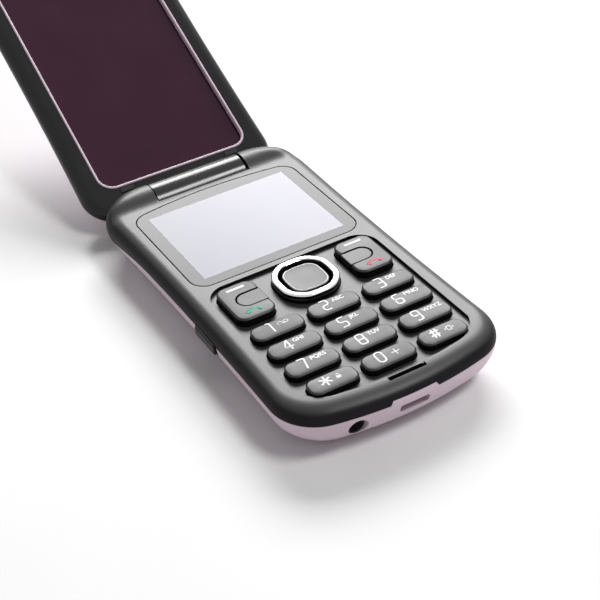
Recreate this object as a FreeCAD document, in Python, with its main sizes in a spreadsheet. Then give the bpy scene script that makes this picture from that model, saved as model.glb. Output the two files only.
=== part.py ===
import FreeCAD, Part
import math
import os
import re
import Sketcher

# Flip phone: a keypad base with the display in it, and a cover that folds over both.
# Row frame: X to the right, Y towards the hinge, Z up out of the keypad face.
# The origin is the middle of the flat back of the base. All sizes are millimetres.

Vector = FreeCAD.Vector
Rotation = FreeCAD.Rotation

DRIVING = [
    # overall form of the base
    ("base_length", 98.3, "bottom end to the back of the hinge knuckles"),
    ("base_width", 50.6, "width at the waist"),
    ("base_thickness", 12.0, "flat back to keypad face"),
    ("waist_radius", 1300.0, "hollow curve of the long sides"),
    ("end_radius", 80.0, "curve of the bottom end in plan"),
    ("end_corner", 10.5, "corner radius at the bottom end"),
    ("hinge_corner", 11.0, "corner radius at the hinge end"),
    ("parting_drop", 3.0, "keypad face down to the parting line"),
    ("parting_radius", 85.0, "fall of the parting line towards the hinge"),
    ("parting_run", 3.0, "screen centre down to where the parting line starts to fall"),
    ("waist_run", 22.0, "screen centre down to the waist"),
    ("face_round", 3.2, "side rounding of the front shell, across"),
    ("face_end_round", 4.4, "end rounding of the front shell, along"),
    ("back_round", 11.5, "side rounding of the rear cover, across"),
    ("back_end_round", 9.2, "end rounding of the rear cover, along"),
    ("wall", 1.4, "wall of the shells"),
    ("seam", 0.1, "gap at the parting line"),
    # hinge
    ("knuckle_radius", 5.3, "outside of knuckles and barrel"),
    ("hinge_drop", 3.6, "hinge axis below the keypad face"),
    ("hinge_gap", 0.4, "barrel to the notch behind it"),
    ("notch_width", 24.5, "notch between the knuckles"),
    ("barrel_side_gap", 0.25, "barrel end to knuckle"),
    ("tail_angle", 55.0, "where the rear cover leaves the knuckle circle"),
    ("open_angle", 152.0, "cover swing from shut to its open stop"),
    ("crest_blend", 5.0, "hollow curve from the keypad face up to the knuckles"),
    ("shaft_radius", 1.5, "hinge shaft and hinge tube inside the barrel"),
    ("running_fit", 0.05, "radial clearance of a turning fit"),
    ("cartridge_radius", 2.7, "spring cartridge in the knuckle"),
    ("cartridge_length", 8.0, "spring cartridge"),
    ("shaft_reach", 7.0, "shaft length inside the barrel"),
    ("shaft_bite", 4.0, "shaft length inside the spring cartridge"),
    ("tube_bore", 0.9, "cable way through the hinge tube"),
    # display
    ("screen_width", 35.04, "visible picture"),
    ("screen_height", 28.03, "visible picture"),
    ("screen_to_hinge", 24.2, "screen centre to hinge axis"),
    ("lens_width", 42.0, "display lens"),
    ("lens_low", 17.1, "screen centre to the lower edge of the lens"),
    ("lens_high", 18.3, "screen centre to the top of the lens arc"),
    ("lens_shoulder", 16.2, "screen centre to where the lens arc meets the corners"),
    ("lens_corner", 4.0, "lens corner radius"),
    ("lens_thickness", 1.0, "display lens"),
    ("fit_gap", 0.1, "piece to its seat"),
    ("module_width", 46.0, "display module"),
    ("module_height", 33.4, "display module"),
    ("module_thickness", 1.85, "display module"),
    # keypad
    ("recess_width", 41.4, "sunk keypad field"),
    ("recess_top", 18.6, "screen centre to the upper edge of the field"),
    ("recess_bottom", 63.9, "screen centre to the lower edge of the field"),
    ("recess_depth", 1.2, "face to the floor of the field"),
    ("recess_corner", 5.0, "corner radius of the field, top"),
    ("floor_thickness", 0.85, "floor of the field"),
    ("key_pitch_x", 13.47, "columns"),
    ("key_pitch_y", 6.875, "rows"),
    ("first_row", 38.5, "screen centre to the top row of number keys"),
    ("key_width", 11.8, "number key"),
    ("key_depth", 4.86, "number key"),
    ("key_corner", 1.9, "number key"),
    ("key_rise", 0.71, "key tops above the face"),
    ("key_gap", 0.2, "key to the edge of its hole"),
    ("key_flange", 0.5, "flange under the floor, each side"),
    ("flange_thickness", 0.45, "flange under the floor"),
    ("key_travel", 0.3, "stroke of a key"),
    ("key_edge", 0.35, "bevel of key tops"),
    ("end_key_trim", 0.9, "how much shorter the outer keys of the last row are"),
    ("soft_x", 14.65, "rocker key from the middle"),
    ("soft_row", 27.06, "screen centre to the rocker keys"),
    ("soft_width", 9.06, "rocker key"),
    ("soft_depth", 12.67, "rocker key"),
    ("soft_corner", 2.3, "rocker key"),
    ("soft_rise", 1.05, "rocker key above the face"),
    ("tongue_length", 6.4, "fixed tongue inside the rocker key"),
    ("tongue_width", 4.5, "fixed tongue inside the rocker key"),
    ("tongue_gap", 0.22, "groove round the tongue"),
    ("nav_size", 14.0, "navigation ring, outside"),
    ("nav_corner", 5.0, "navigation ring, outside"),
    ("nav_band", 1.6, "navigation ring, width of the band"),
    ("nav_rise", 1.21, "navigation ring above the face"),
    ("select_size", 9.0, "select key"),
    ("select_corner", 3.2, "select key"),
    ("select_rise", 0.8, "select key above the face"),
    ("select_flange", 0.15, "flange of the select key"),
    ("mic_slot_length", 8.8, "microphone slot"),
    ("mic_slot_width", 0.9, "microphone slot"),
    ("mic_slot_x", 0.7, "microphone slot from the middle"),
    # inside
    ("board_thickness", 0.8, "main board"),
    ("mat_thickness", 0.35, "keypad mat"),
    ("dome_thickness", 0.15, "dome sheet"),
    ("battery_width", 34.0, "battery"),
    ("battery_length", 50.0, "battery"),
    ("battery_thickness", 4.5, "battery"),
    ("battery_run", 29.6, "screen centre to the middle of the battery"),
    ("frame_plate", 0.9, "plate of the inner frame"),
    ("bay_wall", 0.9, "battery bay wall"),
    ("contact_room", 1.2, "battery to bay wall at the hinge end"),
    ("contact_width", 2.0, "battery contact"),
    ("contact_height", 2.4, "battery contact"),
    ("contact_pitch", 4.0, "battery contacts"),
    ("board_half", 23.2, "main board, from the middle"),
    ("board_inset", 4.2, "bottom end to the board"),
    ("board_high", 15.6, "screen centre to the hinge end of the board"),
    ("board_corner", 8.0, "main board"),
    ("mat_half", 20.3, "keypad mat from the middle"),
    ("mat_top", 19.2, "screen centre to the top of the keypad mat"),
    ("mat_bottom", 62.1, "screen centre to the foot of the keypad mat"),
    ("sim_x", -17.9, "card holder from the middle"),
    ("sim_width", 8.2, "card holder"),
    ("sim_length", 12.0, "card holder"),
    ("sim_thickness", 1.3, "card holder"),
    ("motor_x", 18.8, "vibration motor from the middle"),
    ("motor_radius", 2.0, "vibration motor"),
    ("motor_length", 10.0, "vibration motor"),
    ("antenna_width", 28.0, "antenna block"),
    ("antenna_length", 4.0, "antenna block"),
    ("antenna_thickness", 1.1, "antenna block"),
    ("microphone_x", 5.3, "microphone from the middle"),
    ("microphone_radius", 1.5, "microphone"),
    # sockets at the bottom end
    ("usb_x", -0.15, "micro USB socket from the middle"),
    ("usb_z", 6.9, "micro USB socket above the back"),
    ("usb_width", 6.7, "socket opening"),
    ("usb_height", 1.75, "socket opening"),
    ("usb_depth", 4.6, "socket"),
    ("usb_set", 1.0, "end wall to the socket"),
    ("usb_shell", 0.3, "sheet of the socket"),
    ("boss_width", 11.2, "raised part of the rear cover round the socket"),
    ("boss_rise", 0.9, "raised part above the parting line"),
    ("jack_x", -12.5, "headphone socket from the middle"),
    ("jack_z", 5.95, "headphone socket above the back"),
    ("jack_radius", 1.8, "bore of the headphone socket"),
    ("jack_length", 8.3, "headphone socket"),
    ("jack_nose", 2.1, "nose of the headphone socket"),
    ("jack_set", 3.3, "end wall to the body of the headphone socket"),
    ("jack_rim", 0.25, "wall of the socket's nose"),
    ("jack_body", 4.2, "side of the socket body"),
    # side key
    ("side_key_row", 28.5, "screen centre to the side key"),
    ("side_key_length", 9.2, "side key"),
    ("side_key_height", 2.4, "side key"),
    ("side_key_z", 8.0, "side key above the back"),
    ("side_key_proud", 0.5, "side key beyond the waist"),
    ("side_flange", 0.5, "flange of the side key inside the wall"),
    ("side_lip", 0.3, "flange beyond the side key, above and below"),
    ("switch_width", 1.6, "side switch"),
    ("switch_length", 4.0, "side switch"),
    ("switch_height", 1.2, "side switch"),
    ("side_curve", 0.6, "room for the curve of the wall beside the side key"),
    # back of the base
    ("speaker_x", 9.0, "loudspeaker from the middle"),
    ("speaker_row", 20.0, "hinge axis to loudspeaker and camera"),
    ("speaker_width", 15.0, "loudspeaker"),
    ("speaker_length", 11.0, "loudspeaker"),
    ("speaker_thickness", 3.0, "loudspeaker"),
    ("grille_slots", 5, "slots in front of the loudspeaker"),
    ("grille_pitch", 2.2, "slot to slot"),
    ("grille_slot", 0.9, "slot width"),
    ("grille_length", 7.0, "slot length"),
    ("camera_x", -10.0, "camera from the middle"),
    ("camera_window", 3.4, "radius of the camera window"),
    ("camera_size", 6.6, "side of the camera block"),
    # cover
    ("cover_gap", 0.5, "base face to the inner face of the shut cover"),
    ("cover_thickness", 5.9, "cover"),
    ("cover_split", 2.8, "inner frame's share of the thickness"),
    ("cover_inset", 0.2, "cover edge inside the base edge"),
    ("cover_set_back", 2.7, "hinge axis to the hinge end of the cover"),
    ("cover_corner", 8.0, "corner radius at the hinge end"),
    ("cover_round", 3.0, "side rounding of the inner frame"),
    ("shell_round", 9.0, "side rounding of the outer shell"),
    ("window_half", 20.3, "outer edge of the bead, from the middle"),
    ("window_start", 10.0, "hinge axis to the outer edge of the bead"),
    ("window_end", 87.3, "hinge axis to the far outer edge of the bead"),
    ("window_corner", 4.2, "corner radius of the bead, outside"),
    ("bead_width", 0.7, "trim bead"),
    ("bead_proud", 0.2, "trim bead above the inner face"),
    ("panel_sink", 1.2, "inner face to the dark panel"),
    ("panel_thickness", 1.0, "dark panel"),
    ("panel_ledge", 1.6, "ledge behind the panel"),
    ("ear_row", 81.0, "hinge axis to the earpiece slot"),
    ("ear_length", 9.0, "earpiece slot"),
    ("ear_width", 1.6, "earpiece slot"),
    ("shell_wall", 1.2, "wall of the outer shell"),
    ("earpiece_length", 11.0, "earpiece"),
    ("earpiece_width", 7.0, "earpiece"),
    ("ear_room", 0.75, "earpiece to the wall of the outer shell"),
    ("magnet_x", 14.0, "magnet from the middle"),
    ("magnet_run", 16.0, "hinge axis to the magnet"),
    ("magnet_length", 6.0, "magnet"),
    ("magnet_width", 2.0, "magnet"),
    ("magnet_thickness", 1.2, "magnet"),
    ("pad_x", 14.3, "stop pad from the middle"),
    ("pad_run", 9.0, "hinge axis to the stop pads"),
    ("pad_length", 3.4, "stop pad"),
    ("pad_width", 1.2, "stop pad"),
    ("pad_proud", 0.25, "stop pad above the inner face"),
    ("pad_seat", 0.5, "stop pad below the inner face"),
]

# Places that follow from the driving sizes, as sheet formulas
DERIVED = [
    ("hinge_y", "base_length / 2 - knuckle_radius"),
    ("hinge_z", "base_thickness - hinge_drop"),
    ("end_y", "-base_length / 2"),
    ("screen_y", "hinge_y - screen_to_hinge"),
    ("parting_z", "base_thickness - parting_drop"),
    ("floor_z", "base_thickness - recess_depth"),
    ("under_floor_z", "floor_z - floor_thickness"),
    ("lens_seat_z", "base_thickness - lens_thickness - fit_gap"),
    ("flange_z", "under_floor_z - key_gap - flange_thickness"),
    ("mat_z", "flange_z - key_travel - fit_gap / 2 - mat_thickness"),
    ("dome_z", "mat_z - fit_gap - dome_thickness"),
    ("board_z", "dome_z - fit_gap - board_thickness"),
    ("plate_z", "board_z - fit_gap - frame_plate"),
    ("battery_z", "plate_z - fit_gap - battery_thickness"),
    ("battery_y", "screen_y - battery_run"),
    ("module_z", "board_z + board_thickness + fit_gap"),
    ("module_top", "module_z + module_thickness"),
    ("barrel_length", "notch_width - 2 * barrel_side_gap"),
    ("neck_room", "0.66 * knuckle_radius"),
    ("jack_inset", "wall + jack_set"),
    ("cover_z", "base_thickness + cover_gap"),
    ("cover_mid_z", "cover_z + cover_split"),
    ("cover_top_z", "cover_z + cover_thickness"),
    ("panel_z", "cover_z + panel_sink"),
    ("ledge_z", "panel_z + panel_thickness + fit_gap / 2"),
    ("earpiece_thickness", "cover_top_z - shell_wall - ledge_z - fit_gap - ear_room"),
]

doc = FreeCAD.newDocument("flip_phone")
sheet = doc.addObject("Spreadsheet::Sheet", "sizes")
for row, (alias, number, note) in enumerate(DRIVING, start=1):
    sheet.set("A%d" % row, alias)
    sheet.set("B%d" % row, str(number))
    sheet.set("C%d" % row, note)
    sheet.setAlias("B%d" % row, alias)
for row, (alias, formula) in enumerate(DERIVED, start=1):
    sheet.set("E%d" % row, alias)
    sheet.set("F%d" % row, "=" + formula)
    sheet.setAlias("F%d" % row, alias)
doc.recompute()

subparts = []


def n(alias):
    """Value of one named cell."""
    return float(sheet.get(alias))


def keep(obj, label):
    """Mark an object as a sub-part and give it its name."""
    obj.Label = label
    subparts.append(obj)
    return obj


# Plan outlines: eight tangent arcs and lines

def arc(centre, radius, start, stop):
    chord = (start - centre) + (stop - centre)
    chord.normalize()
    return Part.Arc(start, centre + chord * radius, stop).toShape()


def towards(centre, target, radius):
    direction = target - centre
    direction.normalize()
    return centre + direction * radius


def mirrored(point):
    return Vector(-point.x, point.y, point.z)


def plan_outline(z, side_in, end_in, hinge_y, end_corner, hinge_corner):
    """Closed plan of the base at height z, drawn in from its widest line."""
    half = n("base_width") / 2 - side_in
    end_y = n("end_y") + end_in
    end_radius = n("end_radius")
    waist_radius = n("waist_radius")
    waist_y = n("screen_y") - n("waist_run")
    end_centre = Vector(0, end_y + end_radius, z)
    waist_centre = Vector(half + waist_radius, waist_y, z)
    # bottom corner: inside the end arc and outside the waist arc
    reach_end = end_radius - end_corner
    reach_waist = waist_radius + end_corner
    gap = waist_centre - end_centre
    along = (gap.Length ** 2 + reach_end ** 2 - reach_waist ** 2) / (2 * gap.Length)
    across = math.sqrt(reach_end ** 2 - along ** 2)
    unit = Vector(gap)
    unit.normalize()
    normal = Vector(unit.y, -unit.x, 0)
    low_centre = end_centre + unit * along + normal * across
    # hinge corner: under the straight hinge edge and outside the waist arc
    high_y = hinge_y - hinge_corner
    reach = waist_radius + hinge_corner
    high_x = waist_centre.x - math.sqrt(reach ** 2 - (high_y - waist_y) ** 2)
    high_centre = Vector(high_x, high_y, z)
    right = [
        towards(end_centre, low_centre, end_radius),
        towards(waist_centre, low_centre, waist_radius),
        towards(waist_centre, high_centre, waist_radius),
        Vector(high_x, hinge_y, z),
    ]
    left = [mirrored(point) for point in right]
    edges = [
        arc(end_centre, end_radius, left[0], right[0]),
        arc(low_centre, end_corner, right[0], right[1]),
        arc(waist_centre, waist_radius, right[1], right[2]),
        arc(high_centre, hinge_corner, right[2], right[3]),
        Part.LineSegment(right[3], left[3]).toShape(),
        arc(mirrored(high_centre), hinge_corner, left[3], left[2]),
        arc(mirrored(waist_centre), waist_radius, left[2], left[1]),
        arc(mirrored(low_centre), end_corner, left[1], left[0]),
    ]
    return Part.Wire(edges)


def knuckle_y(z):
    """Furthest Y of the base at height z: knuckle circle, then its tangent."""
    radius = n("knuckle_radius")
    angle = math.radians(n("tail_angle"))
    drop = z - n("hinge_z")
    if drop > -radius * math.sin(angle):
        return n("hinge_y") + math.sqrt(radius ** 2 - min(drop, radius) ** 2)
    tail = -radius * math.sin(angle) - drop
    return n("hinge_y") + radius * math.cos(angle) - tail * math.tan(angle)


def base_section(z, side_in, end_in, hinge_y):
    corner_in = 0.6 * min(side_in, end_in)
    return plan_outline(z, side_in, end_in, hinge_y,
                        n("end_corner") - corner_in, n("hinge_corner") - corner_in)


def ruled_loft(sections):
    return Part.makeLoft(sections, True, True)


def base_solid():
    """Pillow-shaped base: an upper and a lower loft that meet at the widest line."""
    widest = n("parting_z")
    upper = []
    for angle in (0, 30, 60, 90):
        turn = math.radians(angle)
        z = widest + n("parting_drop") * math.sin(turn)
        inward = 1 - math.cos(turn)
        upper.append(base_section(z, n("face_round") * inward, n("face_end_round") * inward, knuckle_y(z)))
    lower = []
    for angle in (0, 25, 48, 68, 90):
        turn = math.radians(angle)
        z = widest * (1 - math.sin(turn))
        inward = 1 - math.cos(turn)
        lower.append(base_section(z, n("back_round") * inward, n("back_end_round") * inward, knuckle_y(z)))
    return ruled_loft(upper).fuse(ruled_loft(lower))


def block(x, y, z, width, depth, height):
    """Plain box centred on x and y, standing on z."""
    return Part.makeBox(width, depth, height, Vector(x - width / 2, y - depth / 2, z))


def rod(radius, x_low, x_high, y, z):
    """Cylinder along X."""
    return Part.makeCylinder(radius, x_high - x_low, Vector(x_low, y, z), Vector(1, 0, 0))


def rounded_wire(x_half, y_low, y_high, corner, z):
    """Rectangle with four round corners, centred on X."""
    wire = []
    y_mid = (y_low + y_high) / 2
    y_half = (y_high - y_low) / 2
    turns = ((1, -1), (1, 1), (-1, 1), (-1, -1))
    points = []
    for sx, sy in turns:
        centre = Vector(sx * (x_half - corner), y_mid + sy * (y_half - corner), z)
        on_x = centre + Vector(sx * corner, 0, 0)
        on_y = centre + Vector(0, sy * corner, 0)
        first, last = (on_y, on_x) if sx * sy < 0 else (on_x, on_y)
        points.append((centre, first, last))
    for index, (centre, first, last) in enumerate(points):
        wire.append(arc(centre, corner, first, last))
        wire.append(Part.LineSegment(last, points[(index + 1) % 4][1]).toShape())
    return Part.Wire(wire)


def rounded_prism(x, x_half, y_low, y_high, corner, z_low, z_high):
    face = Part.Face(rounded_wire(x_half, y_low, y_high, corner, z_low))
    solid = face.extrude(Vector(0, 0, z_high - z_low))
    solid.translate(Vector(x, 0, 0))
    return solid


def below_parting(drop):
    """Everything under the parting line, lowered by drop: level, then falling towards the hinge."""
    reach = n("base_length")
    level = n("parting_z") - drop
    start_y = n("screen_y") - n("parting_run")
    radius = n("parting_radius")
    sweep = math.radians(50)
    centre = Vector(0, start_y, level - radius)
    first = Vector(0, start_y, level)
    middle = centre + Vector(0, radius * math.sin(sweep / 2), radius * math.cos(sweep / 2))
    last = centre + Vector(0, radius * math.sin(sweep), radius * math.cos(sweep))
    depth = -reach
    corners = [last, Vector(0, last.y, depth), Vector(0, -reach, depth), Vector(0, -reach, level), first]
    edges = [Part.Arc(first, middle, last).toShape()]
    for start, stop in zip(corners, corners[1:]):
        edges.append(Part.LineSegment(start, stop).toShape())
    solid = Part.Face(Part.Wire(edges)).extrude(Vector(2 * reach, 0, 0))
    solid.translate(Vector(-reach, 0, 0))
    boss = block(n("usb_x"), n("end_y"), level - 1, n("boss_width") - 2 * drop, n("wall") * 6, 1 + n("boss_rise"))
    return solid.fuse(boss)


def cavity(z_low, z_high, draw_in):
    """Room inside both shells between two heights, drawn in by a clearance."""
    widest = n("parting_z")
    wall = n("wall") + draw_in
    far = n("hinge_y") - n("knuckle_radius") - n("hinge_gap") - wall
    sections = []
    steps = 3
    for index in range(steps + 1):
        z = z_low + (z_high - z_low) * index / steps
        if z < widest:
            inward = 1 - math.sqrt(1 - ((widest - z) / widest) ** 2)
            side, end = n("back_round") * inward, n("back_end_round") * inward
        else:
            inward = 1 - math.sqrt(1 - ((z - widest) / n("parting_drop")) ** 2)
            side, end = n("face_round") * inward, n("face_end_round") * inward
        sections.append(base_section(z, side + wall, end + wall, far))
    return ruled_loft(sections)


def lens_solid(z_low, z_high, grow):
    """Display lens: straight sides and foot, shallow arc at the top, round corners."""
    half = n("lens_width") / 2 + grow
    low = n("screen_y") - n("lens_low") - grow
    shoulder = n("screen_y") + n("lens_shoulder") + grow
    peak = n("screen_y") + n("lens_high") + grow
    points = [Vector(-half, low, z_low), Vector(half, low, z_low), Vector(half, shoulder, z_low),
              Vector(-half, shoulder, z_low)]
    edges = [
        Part.LineSegment(points[0], points[1]).toShape(),
        Part.LineSegment(points[1], points[2]).toShape(),
        Part.Arc(points[2], Vector(0, peak, z_low), points[3]).toShape(),
        Part.LineSegment(points[3], points[0]).toShape(),
    ]
    solid = Part.Face(Part.Wire(edges)).extrude(Vector(0, 0, z_high - z_low))
    upright = [edge for edge in solid.Edges if abs(edge.tangentAt(edge.FirstParameter).z) > 0.99]
    return solid.makeFillet(n("lens_corner") + grow, upright)


def recess_solid(z_low, z_high, draw_in):
    """Sunk keypad field: round at the top, curved like the body's end at the bottom."""
    half = n("recess_width") / 2 - draw_in
    top = n("screen_y") - n("recess_top") - draw_in
    bottom = n("screen_y") - n("recess_bottom") + draw_in
    corner = n("recess_corner")
    lower = block(0, (top + bottom) / 2, z_low, 2 * half, top - bottom, z_high - z_low)
    upright = [edge for edge in lower.Edges if abs(edge.tangentAt(edge.FirstParameter).z) > 0.99]
    upper_edges = [edge for edge in upright if edge.CenterOfMass.y > (top + bottom) / 2]
    lower = lower.makeFillet(corner, upper_edges)
    side_in = n("base_width") / 2 - half
    end_in = bottom - n("end_y")
    limit = plan_outline(z_low, side_in, end_in, n("hinge_y"), n("end_corner") - end_in * 0.5, corner)
    prism = Part.Face(limit).extrude(Vector(0, 0, z_high - z_low))
    return lower.common(prism)


# Keypad layout: name, column, row from the top

KEY_NAMES = [["key_1", "key_2", "key_3"], ["key_4", "key_5", "key_6"],
             ["key_7", "key_8", "key_9"], ["key_star", "key_0", "key_hash"]]


def key_places():
    """Centre and width of every number key; the outer keys of the last row are shorter."""
    places = {}
    for row_index, names in enumerate(KEY_NAMES):
        for column, name in enumerate(names, start=-1):
            width = n("key_width")
            x = column * n("key_pitch_x")
            if name in ("key_star", "key_hash"):
                width -= n("end_key_trim")
                x -= column * n("end_key_trim") / 2
            y = n("screen_y") - n("first_row") - row_index * n("key_pitch_y")
            places[name] = (x, y, width)
    return places


# Hinge notch, bores and openings in the shells

def notch():
    radius = n("knuckle_radius") + n("hinge_gap")
    half = n("notch_width") / 2
    return rod(radius, -half, half, n("hinge_y"), n("hinge_z"))


def side_key_window(gap):
    height = n("side_key_height") + 2 * gap
    y = n("screen_y") - n("side_key_row")
    low = n("side_key_z") - height / 2
    return block(-n("base_width") / 2, y, low, 3 * n("wall"), n("side_key_length") + 2 * gap, height)


def usb_block(grow, length):
    low = n("usb_z") - n("usb_height") / 2 - grow
    face = block(n("usb_x"), n("end_y") + length / 2, low, n("usb_width") + 2 * grow, length,
                 n("usb_height") + 2 * grow)
    along = [edge for edge in face.Edges if abs(edge.tangentAt(edge.FirstParameter).y) > 0.99]
    return face.makeFillet(0.6, along)


def jack_bore(radius, length):
    return Part.makeCylinder(radius, length, Vector(n("jack_x"), n("end_y") - 1, n("jack_z")), Vector(0, 1, 0))


def crest_shape():
    """Ridge along the hinge: up from the face in a hollow curve, then round the knuckle circle."""
    radius, blend = n("knuckle_radius"), n("crest_blend")
    y, z, face = n("hinge_y"), n("hinge_z"), n("base_thickness")
    run = math.sqrt((radius + blend) ** 2 - (face - z + blend) ** 2)
    half = n("base_width") / 2
    centre = Vector(-half, y - run, face + blend)
    axis = Vector(-half, y, z)
    start = Vector(-half, y - run, face)
    touch = towards(axis, centre, radius)
    back = Vector(-half, y + radius, z)
    foot = Vector(-half, y - run, z)
    edges = [
        arc(centre, blend, start, touch),
        arc(axis, radius, touch, back),
        Part.LineSegment(back, foot).toShape(),
        Part.LineSegment(foot, start).toShape(),
    ]
    return Part.Face(Part.Wire(edges)).extrude(Vector(2 * half, 0, 0))


def front_shell_shape():
    shell = base_solid()
    # the crest has the plan corners of the body
    ridge = crest_shape()
    plan = plan_outline(n("parting_z"), n("face_round") / 2, 0, n("base_length") / 2 - n("seam"),
                        n("end_corner"), n("hinge_corner") - n("face_round") / 2)
    plan = Part.Face(plan).extrude(Vector(0, 0, n("base_thickness")))
    shell = shell.fuse(ridge.common(plan))
    shell = shell.cut(below_parting(0))
    shell = shell.cut(cavity(n("parting_z") - 4, n("under_floor_z"), 0))
    shell = shell.cut(notch())
    # display: seat for the lens, window through the ledge, room for the module
    shell = shell.cut(lens_solid(n("lens_seat_z"), n("base_thickness") + 1, n("fit_gap")))
    screen_y = n("screen_y")
    shell = shell.cut(block(0, screen_y, 0, n("screen_width") + 2, n("screen_height") + 2, n("base_thickness")))
    module_low = n("module_z") - 2 * n("fit_gap")
    shell = shell.cut(block(0, screen_y, module_low, n("module_width") + 4 * n("fit_gap"),
                            n("module_height") + 4 * n("fit_gap"), n("module_top") + n("fit_gap") - module_low))
    # sunk field with a hole for every key
    shell = shell.cut(recess_solid(n("floor_z"), n("base_thickness") + 1, 0))
    gap = n("key_gap")
    floor = n("parting_z")
    top = n("base_thickness")
    for x, y, width in key_places().values():
        half_depth = n("key_depth") / 2 + gap
        shell = shell.cut(rounded_prism(x, width / 2 + gap, y - half_depth, y + half_depth,
                                        n("key_corner") + gap, floor, top))
    soft_y = screen_y - n("soft_row")
    for side in (-1, 1):
        half_depth = n("soft_depth") / 2 + gap
        shell = shell.cut(rounded_prism(side * n("soft_x"), n("soft_width") / 2 + gap, soft_y - half_depth,
                                        soft_y + half_depth, n("soft_corner") + gap, floor, top))
    nav_half = n("nav_size") / 2 + gap
    shell = shell.cut(rounded_prism(0, nav_half, soft_y - nav_half, soft_y + nav_half,
                                    n("nav_corner") + gap, floor, top))
    # microphone slot at the lower edge of the field
    slot_y = screen_y - n("recess_bottom")
    shell = shell.cut(block(n("mic_slot_x"), slot_y, floor, n("mic_slot_length"), n("mic_slot_width"), top))
    shell = shell.cut(side_key_window(gap))
    # bores for the spring cartridge, left, and the hinge tube, right
    half = n("notch_width") / 2
    hinge_y, hinge_z = n("hinge_y"), n("hinge_z")
    shell = shell.cut(rod(n("cartridge_radius") + n("fit_gap"), -half - n("cartridge_length"), -half,
                          hinge_y, hinge_z))
    shell = shell.cut(rod(n("shaft_radius") + n("fit_gap") / 2, half - 1, half + n("shaft_reach"),
                          hinge_y, hinge_z))
    return shell


def rear_cover_shape():
    cover = base_solid().common(below_parting(n("seam")))
    cover = cover.cut(cavity(n("wall"), n("under_floor_z"), 0))
    cover = cover.cut(notch())
    # the neck of the opened cover dips under the barrel
    reach = n("base_length") / 4
    cover = cover.cut(block(0, n("hinge_y") - n("neck_room") + reach / 2, -1, n("notch_width"), reach, n("hinge_z") + 1))
    cover = cover.cut(side_key_window(n("key_gap")))
    cover = cover.cut(usb_block(n("fit_gap"), n("usb_depth")))
    cover = cover.cut(jack_bore(n("jack_radius") + n("jack_rim") + n("fit_gap"), n("jack_inset") + 2))
    speaker_y = n("hinge_y") - n("speaker_row")
    slots = int(n("grille_slots"))
    for index in range(slots):
        x = n("speaker_x") + (index - (slots - 1) / 2) * n("grille_pitch")
        cover = cover.cut(block(x, speaker_y, -1, n("grille_slot"), n("grille_length"), 2 * n("wall")))
    window = Part.makeCylinder(n("camera_window"), 3 * n("wall"), Vector(n("camera_x"), speaker_y, -1))
    return cover.cut(window)


def end_room():
    """Cut-outs that the two sockets need in the board and the inner frame."""
    gap = n("fit_gap")
    height = n("base_thickness")
    jack_width = n("jack_body") + 2 * gap
    jack_stop = n("end_y") + n("jack_inset") + n("jack_length") + gap
    usb_stop = n("end_y") + n("wall") + n("usb_set") + n("usb_depth") + gap
    reach = n("base_length") / 4
    jack = block(n("jack_x"), jack_stop - reach / 2, 0, jack_width, reach, height)
    usb_room = n("usb_width") + 2 * n("usb_shell") + 2 * gap
    usb = block(n("usb_x"), usb_stop - reach / 2, 0, usb_room, reach, height)
    return jack.fuse(usb)


def side_key_room():
    """Cut-out beside the side key's flange."""
    y = n("screen_y") - n("side_key_row")
    outer = n("base_width") / 2
    length = n("side_key_length") + 4 * n("key_flange")
    room = 2 * (outer - side_flange_x() + n("side_flange") + n("key_travel") + n("fit_gap"))
    return block(-outer, y, 0, room, length, n("base_thickness"))


def side_flange_x():
    """Outer face of the side key's flange, from the middle."""
    return n("base_width") / 2 - n("wall") - n("side_curve")


def board_shape():
    y_low = n("end_y") + n("board_inset")
    y_high = n("screen_y") + n("board_high")
    z = n("board_z")
    board = rounded_prism(0, n("board_half"), y_low, y_high, n("board_corner"), z, z + n("board_thickness"))
    board = board.cut(end_room())
    return board.cut(side_key_room())


def mid_frame_shape():
    """Inner frame: plate under the board, battery bay walls, rim that follows the shells."""
    z = n("plate_z")
    gap = n("fit_gap")
    length = n("base_length")
    room = cavity(n("wall"), n("under_floor_z"), 2 * gap)
    frame = room.common(block(0, 0, z, length, 2 * length, n("frame_plate")))
    bay_width = n("battery_width") + 2 * gap
    bay_length = n("battery_length") + 2 * gap + n("contact_room")
    bay_y = n("battery_y") + n("contact_room") / 2
    wall = n("bay_wall")
    bay = block(0, bay_y, n("battery_z"), bay_width + 2 * wall, bay_length + 2 * wall, z - n("battery_z"))
    bay = bay.cut(block(0, bay_y, 0, bay_width, bay_length, z))
    frame = frame.fuse(bay)
    frame = frame.cut(end_room())
    return frame.cut(side_key_room())


def cover_section(z, side_in, end_in):
    """Plan of the shut cover at height z."""
    end = n("hinge_y") - n("cover_set_back")
    corner_in = 0.5 * min(side_in, end_in)
    return plan_outline(z, side_in + n("cover_inset"), end_in + n("cover_inset"), end,
                        n("end_corner") - corner_in, n("cover_corner") - corner_in)


def bead_outline(draw_in, z_low, z_high):
    """Prism inside the bead's outer edge, drawn in by a distance."""
    y_high = n("hinge_y") - n("window_start") - draw_in
    y_low = n("hinge_y") - n("window_end") + draw_in
    return rounded_prism(0, n("window_half") - draw_in, y_low, y_high, n("window_corner") - draw_in, z_low, z_high)


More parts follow.
